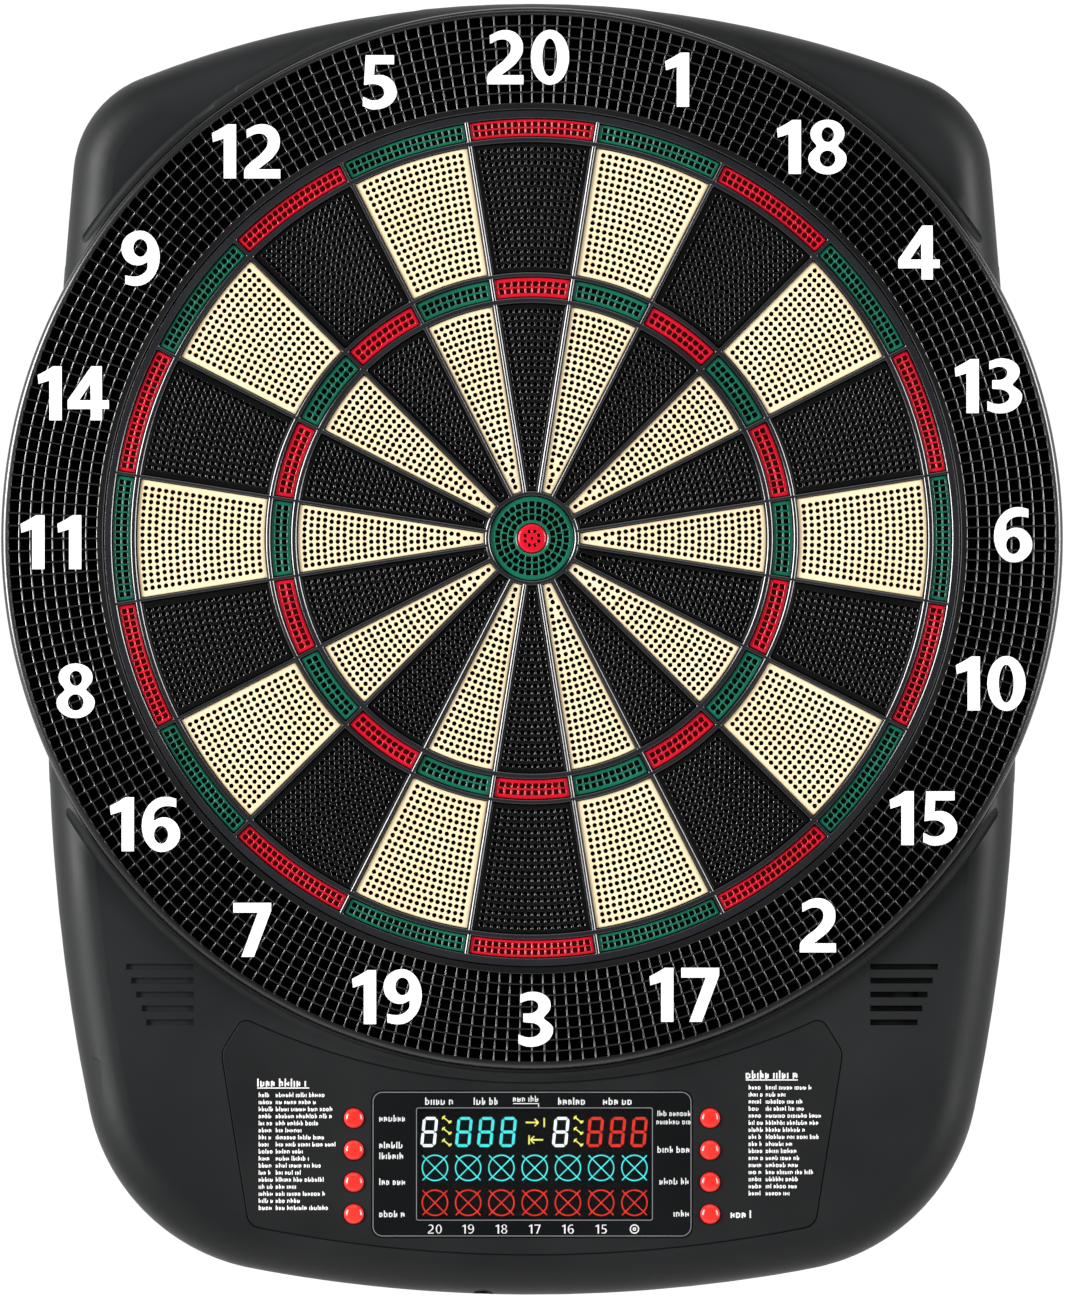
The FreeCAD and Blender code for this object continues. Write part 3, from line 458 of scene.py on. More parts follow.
SQUARE_FLAT, SQUARE_DEPTH = 0.7, 2.5
ROUND = (ROUND_MOUTH, PIT_CHAMFER, PIT_DEPTH)
SQUARE = (square_mouth(SQUARE_FLAT), PIT_CHAMFER, SQUARE_DEPTH)
CREAM_PIT, BLACK_PIT, SQUARE_PIT = 1.0, 1.05, 1.07    # half widths
# Rows of square pits: their radii, pits in a row, and margin at the sides.
TREBLE_ROWS, TREBLE_PITS, TREBLE_MARGIN = (101.4, 104.2), 10, 2.1
DOUBLE_ROWS, DOUBLE_PITS, DOUBLE_MARGIN = (166.75, 169.5), 18, 2.0
BANDS = {
    "inner_single": (19.7, 95.9),
    "treble": (99.0, 106.7),
    "outer_single": (109.3, 161.7),
    "double": (164.7, 171.5),
}
joined = {}
for number, score in enumerate(SCORES):
    dark = number % 2 == 0
    single, band_colour = ("black", "red") if dark else ("cream", "green")
    pit = BLACK_PIT if dark else CREAM_PIT
    for band, (inner, outer) in BANDS.items():
        if band == "outer_single":
            node_name, colour, rows, bore = f"outer_single_{score:02d}", single, outer_single_rows(pit), ROUND
        elif band == "inner_single":
            node_name, colour, rows, bore = f"inner_singles_{single}", single, inner_single_rows(pit), ROUND
        elif band == "treble":
            rows = [pit_row(r, TREBLE_PITS, TREBLE_MARGIN, SQUARE_PIT) for r in TREBLE_ROWS]
            node_name, colour, bore = f"trebles_{band_colour}", band_colour, SQUARE
        else:
            rows = [pit_row(r, DOUBLE_PITS, DOUBLE_MARGIN, SQUARE_PIT) for r in DOUBLE_ROWS]
            node_name, colour, bore = f"doubles_{band_colour}", band_colour, SQUARE
        shell = joined.setdefault((node_name, colour), Shell())
        segment(shell, inner, outer, rows, number, bore)
for (node_name, colour), shell in joined.items():
    paint = {"black": black_pp, "cream": cream_pp, "red": red_pp, "green": green_pp}[colour]
    # Painted shade on the floors of the red, green and black pits. The cream pits' floors take the black of
    # the rubber mat.
    deep = {"red": painted_shade_red, "green": painted_shade_green, "black": painted_shade_black}.get(colour, mat_rubber)
    piece(
        shell, f"{node_name}_face", paint, node_name, [node_name], floor_material=deep
    )


# ---- bull -----------------------------------------------------------------------------------------
BULL_EDGES = [7.1, 9.95, 12.7, 15.6]
BULL_ROWS = [(8.6, 19), (11.3, 25), (14.1, 31)]       # radius and pits
BULL_PIT = (1.15, 1.12)
BULL_RADIUS, BULL_BORE, BULL_LIP = 17.1, 6.35, 18.0
BULL_STEPS, MIDDLE_STEPS, HOLE_STEPS = 64, 48, 16
MIDDLE_TOP = 30.6
MIDDLE_EDGES = [1.35, 4.3]
MIDDLE_ROW, MIDDLE_PITS, MIDDLE_PIT = 2.95, 8, (0.72, 0.72)
MIDDLE_PROFILE = [(4.7, MIDDLE_TOP), (5.3, 30.48), (5.75, 30.15), (6.0, 29.6), (6.0, SEGMENT_REAR)]
HOLE_PROFILE = [(0.75, MIDDLE_TOP), (0.65, MIDDLE_TOP - 0.1), (0.6, MIDDLE_TOP - 2)]


def full_turn(_):
    """Half the angle that a row spans: at every radius it goes all the way round."""
    return math.pi


def even_row(radius, count, size):
    return radius, [-1 + (2 * i + 1) / count for i in range(count)], size


def ring_points(corners, k):
    """The points of one edge of a band that goes all the way round, whose last point repeats the first."""
    return list(corners[k].values())[:-1]


def turned_loops(shell, start, profile, steps):
    """Joins round rings of points, each at a (radius, depth) of the profile, on from a first loop."""
    turns = [2 * math.pi * i / steps for i in range(steps)]
    rings = [shell.put([polar(radius, t) for t in turns], depth) for radius, depth in profile]
    shell.collar(start, rings[0], 0, 0)
    for a, b in zip(rings, rings[1:]):
        shell.wall(a, b)
    return rings[-1]


def bull():
    """Outer bull with three rows of square pits, and inner bull with one row round a middle pit."""
    shell = Shell()
    rim = SEGMENT_DEPTH - CHAMFER_SLOPE * EDGE
    rows = [even_row(radius, count, BULL_PIT) for radius, count in BULL_ROWS]
    corners = perforate(shell, BULL_EDGES, rows, full_turn, 0, SEGMENT_DEPTH, SQUARE)
    outside = [(BULL_RADIUS - EDGE, SEGMENT_DEPTH), (BULL_RADIUS, rim), (BULL_RADIUS, LIP_FRONT),
               (BULL_LIP, LIP_FRONT), (BULL_LIP, LIP_BACK), (BULL_RADIUS, LIP_BACK),
               (BULL_RADIUS, SEGMENT_REAR)]
    outer = turned_loops(shell, ring_points(corners, -1), outside, BULL_STEPS)
    inside = [(BULL_BORE + EDGE, SEGMENT_DEPTH), (BULL_BORE, rim), (BULL_BORE, SEGMENT_REAR)]
    inner = turned_loops(shell, ring_points(corners, 0), inside, BULL_STEPS)
    shell.wall(outer, inner)
    # The floors of the pits carry a painted shade in a darker green.
    piece(shell, "bull_outer_face", green_pp, "bull_outer", ["bull_outer"], weld=True,
          smooth=SMOOTH_FLAT, floor_material=painted_shade_green)

    shell = Shell()
    rows = [even_row(MIDDLE_ROW, MIDDLE_PITS, MIDDLE_PIT)]
    corners = perforate(shell, MIDDLE_EDGES, rows, full_turn, 0, MIDDLE_TOP, ROUND)
    rear = turned_loops(shell, ring_points(corners, -1), MIDDLE_PROFILE, MIDDLE_STEPS)
    shell.faces.append(tuple(rear))
    hole = turned_loops(shell, ring_points(corners, 0), HOLE_PROFILE, HOLE_STEPS)
    shell.floors.append(len(shell.faces))
    shell.faces.append(tuple(hole))
    # The floors of the pits carry a painted shade in a darker red.
    piece(shell, "bull_inner_face", red_pp, "bull_inner", ["bull_inner"], weld=True,
          smooth=SMOOTH_ROUND, floor_material=painted_shade_red)


bull()


# ---- web ------------------------------------------------------------------------------------------
WEB_EASE = 0.6
EASE_SHAPE = 0.414             # gives the two steps of the eased edge the lean of the chamfers
EASE_ANGLE = 50                # edges sharper than this are eased, in degrees


def web():
    """The dark grid between the segments: five rings and twenty radial walls, with eased edges."""
    shell = Shell()
    steps = 12
    circles = []
    for radius in [r for pair in WEB_RINGS for r in pair]:
        wall = math.asin(WEB_WALL / 2 / radius)
        angles = []
        for i in range(len(SCORES)):
            start, end = (i - 0.5) * SECTOR + wall, (i + 0.5) * SECTOR - wall
            angles += [start + (end - start) * s / (steps - 1) for s in range(steps)]
        circles.append([polar(radius, a) for a in angles])
    tops = [shell.put(c, WEB_DEPTH) for c in circles]
    rears = [shell.put(c, LIP_FRONT) for c in circles]
    count = len(circles[0])
    for layer in (tops, rears):
        for k in range(0, len(circles), 2):
            shell.wall(layer[k], layer[k + 1])
        for k in range(1, len(circles) - 1, 2):
            for i in range(steps - 1, count, steps):
                j = (i + 1) % count
                shell.faces.append((layer[k][i], layer[k][j], layer[k + 1][j], layer[k + 1][i]))
    for k in range(len(circles)):
        for i in range(count):
            j = (i + 1) % count
            at_wall = i % steps == steps - 1
            joins_wall = 0 < k < len(circles) - 1
            if not (at_wall and joins_wall):
                shell.faces.append((tops[k][i], tops[k][j], rears[k][j], rears[k][i]))
    for k in range(1, len(circles) - 1, 2):
        for i in range(count):
            if i % steps in (0, steps - 1):
                shell.faces.append((tops[k][i], tops[k + 1][i], rears[k + 1][i], rears[k][i]))
    made = piece(shell, "web_grid", web_nylon, "board", ["spider"])
    ease = made.modifiers.new("eased edges", "BEVEL")
    ease.width = WEB_EASE * MM
    ease.segments = 2
    ease.profile = EASE_SHAPE
    ease.limit_method = "ANGLE"
    ease.angle_limit = math.radians(EASE_ANGLE)
    ease.use_clamp_overlap = True


web()

# ---- number ring ----------------------------------------------------------------------------------
RIB_TOP = 32.2
POCKETS = 256
POCKET_ROWS = 8
MESH_INNER, MESH_OUTER = 177.9, 214.4
RIB_HALF, POCKET_CHAMFER = 0.06, 0.22
POCKET_FLOOR, POCKET_FLAT = 27.0, 0.9
RING_INNER, RING_EASE = 175.6, 0.3
WALL_REAR, SHELF_REAR = 15.0, 25.0     # rear of the ring's two walls, and of the shelf between them
RIM_WALL, RIM_OUTER = 215.1, 217.3     # inside and outside of the outer wall
RIM_STEP = [(0.1, 32.6), (0.35, 32.85)]
RIM_MIDDLE, RIM_ROUND = (214.7, 30.4), 2.6


def number_ring():
    """Ring of catch pockets between a flat inner band and a rounded rim."""
    shell = Shell()
    pitch = (MESH_OUTER - MESH_INNER) / POCKET_ROWS
    edges = [MESH_INNER + pitch * i for i in range(POCKET_ROWS + 1)]
    half_rib = RIB_HALF + POCKET_CHAMFER
    rows = []
    for edge in edges[:-1]:
        radius = edge + pitch / 2
        rows.append(even_row(radius, POCKETS, (math.pi * radius / POCKETS - half_rib, pitch / 2 - half_rib)))
    pocket = (square_mouth(POCKET_FLAT), POCKET_CHAMFER, RIB_TOP - POCKET_FLOOR)
    corners = perforate(shell, edges, rows, full_turn, 0, RIB_TOP, pocket)
    inside = [(RING_INNER + RING_EASE, RIB_TOP), (RING_INNER, RIB_TOP - RING_EASE), (RING_INNER, WALL_REAR),
              (MESH_INNER, WALL_REAR), (MESH_INNER, SHELF_REAR), (RIM_WALL, SHELF_REAR)]
    outside = [(MESH_OUTER + out, depth) for out, depth in RIM_STEP]
    for degrees in range(0, 91, 18):
        out, rise = polar(RIM_ROUND, math.radians(degrees))
        outside.append((RIM_MIDDLE[0] + out, RIM_MIDDLE[1] + rise))
    outside += [(RIM_OUTER, WALL_REAR), (RIM_WALL, WALL_REAR), (RIM_WALL, SHELF_REAR)]
    turned_loops(shell, ring_points(corners, 0), inside, POCKETS)
    turned_loops(shell, ring_points(corners, -1), outside, POCKETS)
    # The pocket floors carry a painted shade, a deeper black than the ring itself.
    piece(shell, "catch_ring", ring_abs, "board", ["number_ring"], weld=True,
          smooth=SMOOTH_FLAT, floor_material=painted_shade_black)


number_ring()

# ---- numerals -------------------------------------------------------------------------------------
# Each outline is a run of points: c is a corner, h and v are rounds that lie flat or upright there, and
# s is a free round.
NUMERALS = {
    "0": ["v0,11.1 h7.85,22.3 v15.7,11.1 h7.85,-.2", "v4.7,11 h7.75,18.8 v10.8,11 h7.75,3.2"],
    "1": ["c4.8,0 c9.85,0 c9.85,22.1 c6.3,22.1 s3.4,20.3 c0,18.5 c.4,14.9 c4.8,16.3"],
    "2": ["c0,0 c14.8,0 c14.8,3.7 c5.7,3.7 s12.2,9.2 v14.6,15.5 h7.6,22.2 c1,20 c1.1,16.6 h6.4,18.4"
          " v9.7,15.4 s7.2,10.3 s2.3,6.2 v0,2.4"],
    "3": ["c.8,21.2 c.8,17.9 h5.2,19 v8.2,16.5 h4.3,13.5 c2,13.5 c2,10 h4.6,9.8 v9.1,6.8 h4.6,3.7 c0,4.9"
          " c0,1.1 h5.2,-.1 v14.2,6.8 c10.2,11.6 v13.2,17.1 h6.1,22.4"],
    "4": ["c0,8.2 c0,4.6 c9.45,4.6 c9.5,0 c14.1,0 c14.1,4.7 c16.9,4.7 c16.9,8.2 c14.1,8.2 c14,22.1"
          " c9.7,22.1", "c4.8,8.2 c9.45,8.2 c9.3,14.9"],
    "5": ["c1.2,22 c12.8,22 c12.8,18.3 c4.9,18.3 c4.6,13.8 h6.9,13.95 v13.9,6.8 h4.8,-.2 c0,1.2 c.1,5"
          " h4.8,3.5 v8.95,6.9 h4.5,10.2 c.5,9.8"],
    "7": ["c0,22.1 c0,18.1 c10,18.1 c3.3,0 c8.4,0 c15.5,19 c15.5,22.1"],
    "8": ["v0,6.2 h7.85,-.2 v15.65,6.2 c12,11.5 v14.8,16.6 h7.85,22.2 v.85,16.6 c3.5,11.4",
          "v5.35,16.1 h7.9,19.2 v10.5,16.1 h7.9,13", "v4.6,6.3 h7.85,9.6 v11.1,6.3 h7.85,2.9"],
    "9": ["h7.75,22.5 v0,15.3 h6.5,8.3 c10.8,9.7 s10.1,6 h5.3,3.7 c1.6,4.2 c1.6,.7 h6.2,-.1 v15.7,11.8",
          "v4.9,15.4 h7.75,19.1 v10.7,15.4 h7.75,11.8"],
}
NUMERAL_HEIGHT = 22.2
NUMERAL_WIDTH = {"0": 15.7, "1": 9.85, "2": 14.8, "3": 14.2, "4": 16.9, "5": 13.9, "6": 15.7, "7": 15.5,
                 "8": 15.65, "9": 15.7}
LEFT_BEARING = {"1": 2.2, "2": 0.3, "3": 0.5, "4": -0.6, "5": 0.9, "6": 0.2, "7": 0.2}
NUMERAL_GAP = 3.0
ROUND_HANDLE = 0.55            # length of a round's handle as a share of its reach along that axis


def outline(curve, digit, x, z, scale):
    """Draws one digit into the curve, with its lower left corner at (x, z).

    A corner's handles reach a third of the way to its neighbours, and a free round's a sixth of the way from
    one neighbour to the other. A six is a nine turned upside down.
    """
    turned = digit == "6"
    for run in NUMERALS["9" if turned else digit]:
        points = [(p[0], *map(float, p[1:].split(","))) for p in run.split()]
        spline = curve.splines.new("BEZIER")
        spline.bezier_points.add(len(points) - 1)
        spline.use_cyclic_u = True
        for i, (kind, px, pz) in enumerate(points):
            before, after = points[i - 1], points[(i + 1) % len(points)]
            if kind == "h":
                reach = [(px + ROUND_HANDLE * (o[1] - px), pz) for o in (before, after)]
            elif kind == "v":
                reach = [(px, pz + ROUND_HANDLE * (o[2] - pz)) for o in (before, after)]
            elif kind == "s":
                dx, dz = (after[1] - before[1]) / 6, (after[2] - before[2]) / 6
                reach = [(px - dx, pz - dz), (px + dx, pz + dz)]
            else:
                reach = [(px + (o[1] - px) / 3, pz + (o[2] - pz) / 3) for o in (before, after)]
            spot = spline.bezier_points[i]
            spot.handle_left_type = spot.handle_right_type = "FREE"
            drawn = []
            for qx, qz in ((px, pz), *reach):
                if turned:
                    qx, qz = NUMERAL_WIDTH["6"] - qx, NUMERAL_HEIGHT - qz
                drawn.append(((x + qx * scale) * MM, (z + qz * scale) * MM, 0))
            spot.co, spot.handle_left, spot.handle_right = drawn


def numerals(name, places, scale, depth, thickness, material, thinner=0.0):
    """Printed numbers as thin plates, centred on their places. thinner is taken off each side of a stroke."""
    curve = bpy.data.curves.new(name, "CURVE")
    curve.dimensions = "2D"
    curve.fill_mode = "BOTH"
    curve.resolution_u = 8
    curve.extrude = thickness * MM / 2
    curve.offset = -thinner * MM
    for value, (x, z) in places:
        text = str(value)
        starts = [0.0]
        for left, right in zip(text, text[1:]):
            starts.append(starts[-1] + NUMERAL_WIDTH[left] + NUMERAL_GAP + LEFT_BEARING.get(right, 0.0))
        width = starts[-1] + NUMERAL_WIDTH[text[-1]]
        for digit, start in zip(text, starts):
            outline(curve, digit, x + (start - width / 2) * scale, z - NUMERAL_HEIGHT / 2 * scale, scale)
    drawn = bpy.data.objects.new(name + "_outline", curve)
    scene.collection.objects.link(drawn)
    bpy.context.view_layer.update()
    mesh = bpy.data.meshes.new_from_object(drawn.evaluated_get(bpy.context.evaluated_depsgraph_get()))
    bpy.data.objects.remove(drawn)
    upright = Matrix.Rotation(math.pi / 2, 4, "X")
    mesh.transform(Matrix.Translation((0, -(depth + thickness / 2) * MM, 0)) @ upright)
    mesh.name = name
    mesh.materials.clear()
    mesh.materials.append(material)
    made = bpy.data.objects.new(name, mesh)
    scene.collection.objects.link(made)
    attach(made, "board")
    return made


NUMBER_CIRCLE = 196.8
NUMBER_TURN = math.radians(-0.45)
NUMBER_THICKNESS = 0.5
places = [(s, polar(NUMBER_CIRCLE, i * SECTOR + NUMBER_TURN)) for i, s in enumerate(SCORES)]
numerals("ring_numerals", places, 1.0, RIB_TOP, NUMBER_THICKNESS, white_ink)


# ---- buttons --------------------------------------------------------------------------------------
BUTTON_COLUMN, BUTTON_TOP, BUTTON_PITCH = 73.0, -237.6, 13.1
BUTTON_NAMES = ["power", "reset", "option", "player", "bounce_out", "miss", "handicap", "start"]
BUTTON_PROFILE = [(0.0, 27.0), (1.2, 26.94), (2.2, 26.76), (3.0, 26.45), (3.6, 26.0), (3.95, 25.5),
                  (4.1, 25.0), (4.1, 22.45), (5.4, 22.45), (5.4, 21.3), (2.2, 21.3), (2.2, 20.3),
                  (1.75, 20.3), (1.75, 18.0), (0.0, 18.0)]


def turned(name, profile, x, z, material, body, nodes, slot, steps=40):
    """A turned piece from its (radius, depth) profile, which starts and ends on the axis."""
    shell = Shell()
    tip, foot = shell.put([(x, z)], profile[0][1]), shell.put([(x, z)], profile[-1][1])
    rings = []
    for radius, depth in profile[1:-1]:
        turns = [2 * math.pi * i / steps for i in range(steps)]
        rings.append(shell.put([(x + radius * math.cos(t), z + radius * math.sin(t)) for t in turns], depth))
    for a, b in zip(rings, rings[1:]):
        shell.wall(a, b)
    for end, ring in ((tip[0], rings[0]), (foot[0], rings[-1])):
        shell.faces += [(end, ring[i], ring[(i + 1) % steps]) for i in range(steps)]
    return piece(shell, name, material, body, nodes, smooth=SMOOTH_ROUND)


for i, name in enumerate(BUTTON_NAMES):
    side = -1 if i < 4 else 1
    turned(
        f"button_cap_{name}", BUTTON_PROFILE, side * BUTTON_COLUMN, BUTTON_TOP - BUTTON_PITCH * (i % 4),
        button_abs, f"button_{name}", [f"button_{name}"], "red_buttons",
    )

# ---- display --------------------------------------------------------------------------------------
# Boxes are given by their left, right, bottom and top.
SCREEN, SCREEN_CORNER = (-46.9, 48.9, -278.9, -233.8), 0.6
WINDOW, WINDOW_CORNER = (-65.85, 65.85, -286.55, -226.25), 4.35
WINDOW_REAR, WINDOW_THICKNESS = 23.8, 1.1
CLEAR_REAR, CLEAR_THICKNESS, CLEAR_GAP = 23.85, 1.0, 0.03


def grown(box, by):
    """The box with each side moved out."""
    left, right, bottom, top = box
    return left - by, right + by, bottom - by, top + by


def rounded_box(left, right, bottom, top, corner, steps=6):
    """Outline of a box with round corners, anticlockwise."""
    outline_points = []
    corners = [(right - corner, top - corner), (left + corner, top - corner),
               (left + corner, bottom + corner), (right - corner, bottom + corner)]
    for quarter, (x, z) in enumerate(corners):
        for s in range(steps + 1):
            turn = math.pi / 2 * (quarter + s / steps)
            outline_points.append((x + corner * math.cos(turn), z + corner * math.sin(turn)))
    return outline_points


def frame_loops(shell, outer, inner, depth, thickness):
    """A flat frame between two outlines with the same number of points."""
    loops = [shell.put(outer, depth), shell.put(outer, depth + thickness)]
    loops += [shell.put(inner, depth + thickness), shell.put(inner, depth)]
    for a, b in zip(loops, loops[1:] + loops[:1]):
        shell.wall(a, b)


shell = Shell()
clear_outline = rounded_box(*SCREEN, SCREEN_CORNER)
frame_loops(shell, rounded_box(*WINDOW, WINDOW_CORNER), clear_outline, WINDOW_REAR, WINDOW_THICKNESS)
piece(shell, "window_frame", window_acrylic, "board", ["display_window"])
shell = Shell()
shell.plate(rounded_box(*grown(SCREEN, -CLEAR_GAP), SCREEN_CORNER), CLEAR_REAR, CLEAR_THICKNESS)
piece(shell, "window_clear", clear_acrylic, "board", ())

LIT_HEIGHT = 0.2
lit_shells = {name: Shell() for name in lit}


def bar(shell, a, b, width, depth, thickness, pointed=False):
    """A straight stroke from a to b that stands on a surface at that depth, square or pointed at its ends."""
    (ax, az), (bx, bz) = a, b
    length = math.hypot(bx - ax, bz - az)
    dx, dz = (bx - ax) / length * width / 2, (bz - az) / length * width / 2
    if pointed:
        points = [(ax, az), (ax + dx - dz, az + dz + dx), (bx - dx - dz, bz - dz + dx), (bx, bz),
                  (bx - dx + dz, bz - dz - dx), (ax + dx + dz, az + dz - dx)]
    else:
        points = [(ax - dz, az + dx), (bx - dz, bz + dx), (bx + dz, bz - dx), (ax + dz, az - dx)]
    shell.plate(points, depth, thickness)


def seven_bars(shell, x, z, width, height):
    """A lit figure of seven bars that leans to the right. (x, z) is its lower left corner."""
    stroke, lean = 1.25, 0.10
    low, mid, high = stroke / 2, height / 2, height - stroke / 2
    west, east, gap = stroke / 2, width - stroke / 2, 0.16
    runs = [((west, h), (east, h)) for h in (low, mid, high)]
    runs += [((side, a), (side, b)) for side in (west, east) for a, b in ((low, mid), (mid, high))]
    for (ax, az), (bx, bz) in runs:
        length = math.hypot(bx - ax, bz - az)
        ux, uz = (bx - ax) / length * gap, (bz - az) / length * gap
        ends = [(ax + ux, az + uz), (bx - ux, bz - uz)]
        ends = [(x + px + lean * pz, z + pz) for px, pz in ends]
        bar(shell, *ends, stroke, SCREEN_DEPTH, LIT_HEIGHT, True)


FIGURES = {"white": (-45.9, 8.0), "cyan": (-31.7, -22.7, -13.6), "red": (22.1, 31.2, 40.1)}
FIGURE_FOOT, FIGURE_WIDTH, FIGURE_HEIGHT = -249.5, 6.3, 12.4
for name, starts in FIGURES.items():
    for x in starts:
        seven_bars(lit_shells[name], x, FIGURE_FOOT, FIGURE_WIDTH, FIGURE_HEIGHT)

# Small darts, each of three strokes: (start, end, width, pointed), from its middle.
DART_COLUMNS, DART_ROWS = (-34.8, 19.2), (-238.4, -243.0, -247.8)
DART_STROKES = [((-1.9, 1.4), (0.9, -0.8), 0.55, False), ((0.5, -1.4), (1.9, -0.2), 0.9, True),
                ((-2.1, 0.4), (-0.9, 1.8), 0.5, False)]
yellow = lit_shells["yellow"]
for x in DART_COLUMNS:
    for z in DART_ROWS:
        for (ax, az), (bx, bz), width, pointed in DART_STROKES:
            bar(yellow, (x + ax, z + az), (x + bx, z + bz), width, SCREEN_DEPTH, LIT_HEIGHT, pointed)

# In and out are shown by an arrow that points to or from an upright post: (height, start, end, post).
ARROWS = [(-239.4, -2.6, 2.6, 5.0), (-246.5, 4.6, -0.6, -1.2)]
ARROW_LINE, POST_REACH, BARB, BARB_LINE = 0.7, 1.9, 1.5, 0.6
for z, start, end, post in ARROWS:
    bar(yellow, (post, z - POST_REACH), (post, z + POST_REACH), ARROW_LINE, SCREEN_DEPTH, LIT_HEIGHT)
    bar(yellow, (start, z), (end, z), ARROW_LINE, SCREEN_DEPTH, LIT_HEIGHT)
    back = math.copysign(BARB, end - start)
    for rise in (-BARB, BARB):
        bar(yellow, (end, z), (end - back, z + rise), BARB_LINE, SCREEN_DEPTH, LIT_HEIGHT)

MARK_COLUMNS = [-39.8 + 13.63 * i for i in range(7)]
MARK_ROWS = {"cyan": -258.0, "red": -272.3}
MARK_RADIUS, MARK_LINE = 5.2, 0.55
CROSS_REACH, CROSS_LINE, CROSS_RISE = 5.1, 0.48, 0.05
for name, z in MARK_ROWS.items():
    for x in MARK_COLUMNS:
        lit_shells[name].hoop(x, z, MARK_RADIUS, MARK_LINE, SCREEN_DEPTH, LIT_HEIGHT)
        for rise in (-CROSS_REACH, CROSS_REACH):
            low, high = (x - CROSS_REACH, z - rise), (x + CROSS_REACH, z + rise)
            bar(lit_shells[name], low, high, CROSS_LINE, SCREEN_DEPTH, LIT_HEIGHT + CROSS_RISE)
for name, shell in lit_shells.items():
    piece(shell, f"lit_{name}_marks", lit[name], "board", ())

# ---- printing -------------------------------------------------------------------------------------
INK = 0.04
# Letters, as shares of the height of the print.
TALL, WIDE = (1.0, 0.7, 0.7), (0.16, 0.44, 0.5, 0.56)
STROKE, LETTER_GAP, WORD_GAP = 0.17, 0.2, 0.36
NARROW = 0.3                   # a letter under this width is a stem alone
MIDDLE_LEVEL, UPPER_LEVEL = 0.35, 0.7
SIDE_FOOT, SIDE_TOP = 0.1, 0.6
WORD_LENGTHS = (3, 7)


def words(shell, left, right, z, height, depth):
    """A row of small strokes that stands in for a printed line. It reads as nothing."""
    line = STROKE * height
    half, foot, x = line / 2, z - height / 2, left
    levels = (half, MIDDLE_LEVEL * height, UPPER_LEVEL * height - half)
    letters = random.randint(*WORD_LENGTHS)
    while x < right - NARROW * height:
        tall = height * random.choice(TALL)
        wide = height * random.choice(WIDE)
        bar(shell, (x + half, foot), (x + half, foot + tall), line, depth, INK)
        if wide > NARROW * height:
            for level in random.sample(levels, random.choice((1, 2, 2))):
                bar(shell, (x + line, foot + level), (x + wide - line, foot + level), line, depth, INK)
            side = x + wide - half
            bar(shell, (side, foot + SIDE_FOOT * height), (side, foot + SIDE_TOP * height), line, depth, INK)
        x += wide + LETTER_GAP * height
        letters -= 1
        if letters == 0:
            letters = random.randint(*WORD_LENGTHS)
            x += WORD_GAP * height


# Printed lines: (left, right, height of the middle, height of the print).
WINDOW_WORDS = [
    (-43.8, -32.1, -230.6, 3.0), (-23.9, -13.1, -230.6, 3.0), (10.7, 22.6, -230.6, 3.0),
    (29.1, 40.1, -230.6, 3.0), (-7.8, 2.9, -229.6, 2.5), (-62.6, -52.4, -237.6, 2.7),
    (-62.6, -53.6, -248.6, 2.7), (-62.6, -53.0, -253.0, 2.7), (-62.6, -52.6, -263.6, 2.7),
    (-62.6, -52.8, -276.8, 2.7), (51.4, 65.0, -235.6, 2.2), (51.0, 65.0, -239.0, 2.2),
    (51.4, 65.0, -250.4, 2.7), (52.2, 65.0, -263.4, 2.7), (58.0, 65.0, -276.6, 2.7),
]
PANEL_WORDS = [(81.4, 90.9, -276.9, 3.1), (-112.6, -91.6, -223.0, 3.3), (87.6, 108.6, -219.7, 3.3)]
# Printed rules: (start, end, width).
WINDOW_RULES = [((-7.8, -231.6), (2.9, -231.6), 0.35), ((2.7, -231.6), (2.7, -233.0), 0.35)]
PANEL_RULES = [((-112.6, -225.2), (-91.3, -225.2), 0.4), ((87.6, -221.9), (108.9, -221.9), 0.4)]
# Printed lists: (left, height of the first line, number of lines). Each line is a code and then some words.
LISTS = [(-112.0, -228.0, 17), (88.8, -224.9, 16)]
LIST_STEP, LIST_PRINT, CODE_WIDTH, TEXT_START, TEXT_ENDS = 2.89, 1.9, 5.4, 7.0, (16, 32)

window_print, window_lines, panel_print = Shell(), Shell(), Shell()
for shell, depth, printed, rules in (
    (window_print, WINDOW_DEPTH, WINDOW_WORDS, WINDOW_RULES),
    (panel_print, PANEL_DEPTH, PANEL_WORDS, PANEL_RULES),
):
    for line in printed:
        words(shell, *line, depth)
    for start, end, width in rules:
        bar(shell, start, end, width, depth, INK)
for x, first, count in LISTS:
    for i in range(count):
        z = first - LIST_STEP * i
        words(panel_print, x, x + CODE_WIDTH, z, LIST_PRINT, PANEL_DEPTH)
        words(panel_print, x + TEXT_START, x + random.uniform(*TEXT_ENDS), z, LIST_PRINT, PANEL_DEPTH)

PRINTED_LINE = 0.3
BORDER = (-65.3, 65.3, -286.0, -226.8)
SCREEN_MARGIN = 0.6
for box, outer_corner, inner_corner in ((BORDER, 4.0, 3.7), (grown(SCREEN, SCREEN_MARGIN), 0.9, 0.7)):
    inner_outline = rounded_box(*grown(box, -PRINTED_LINE), inner_corner)
    frame_loops(window_lines, rounded_box(*box, outer_corner), inner_outline, WINDOW_DEPTH, INK)
SCORE_ROW, SCORE_HEIGHT, SCORE_THINNER = -283.0, 4.0, 0.16
BULL_MARK_RADII, BULL_MARK_LINE = (1.7, 0.5), 0.5
for radius in BULL_MARK_RADII:
    window_print.hoop(MARK_COLUMNS[-1], SCORE_ROW, radius, BULL_MARK_LINE, WINDOW_DEPTH, INK)
piece(window_print, "window_labels", grey_ink, "board", ())
piece(window_lines, "window_lines", line_ink, "board", ())
piece(panel_print, "panel_labels", white_ink, "board", ())
places = [(20 - i, (x, SCORE_ROW)) for i, x in enumerate(MARK_COLUMNS[:-1])]
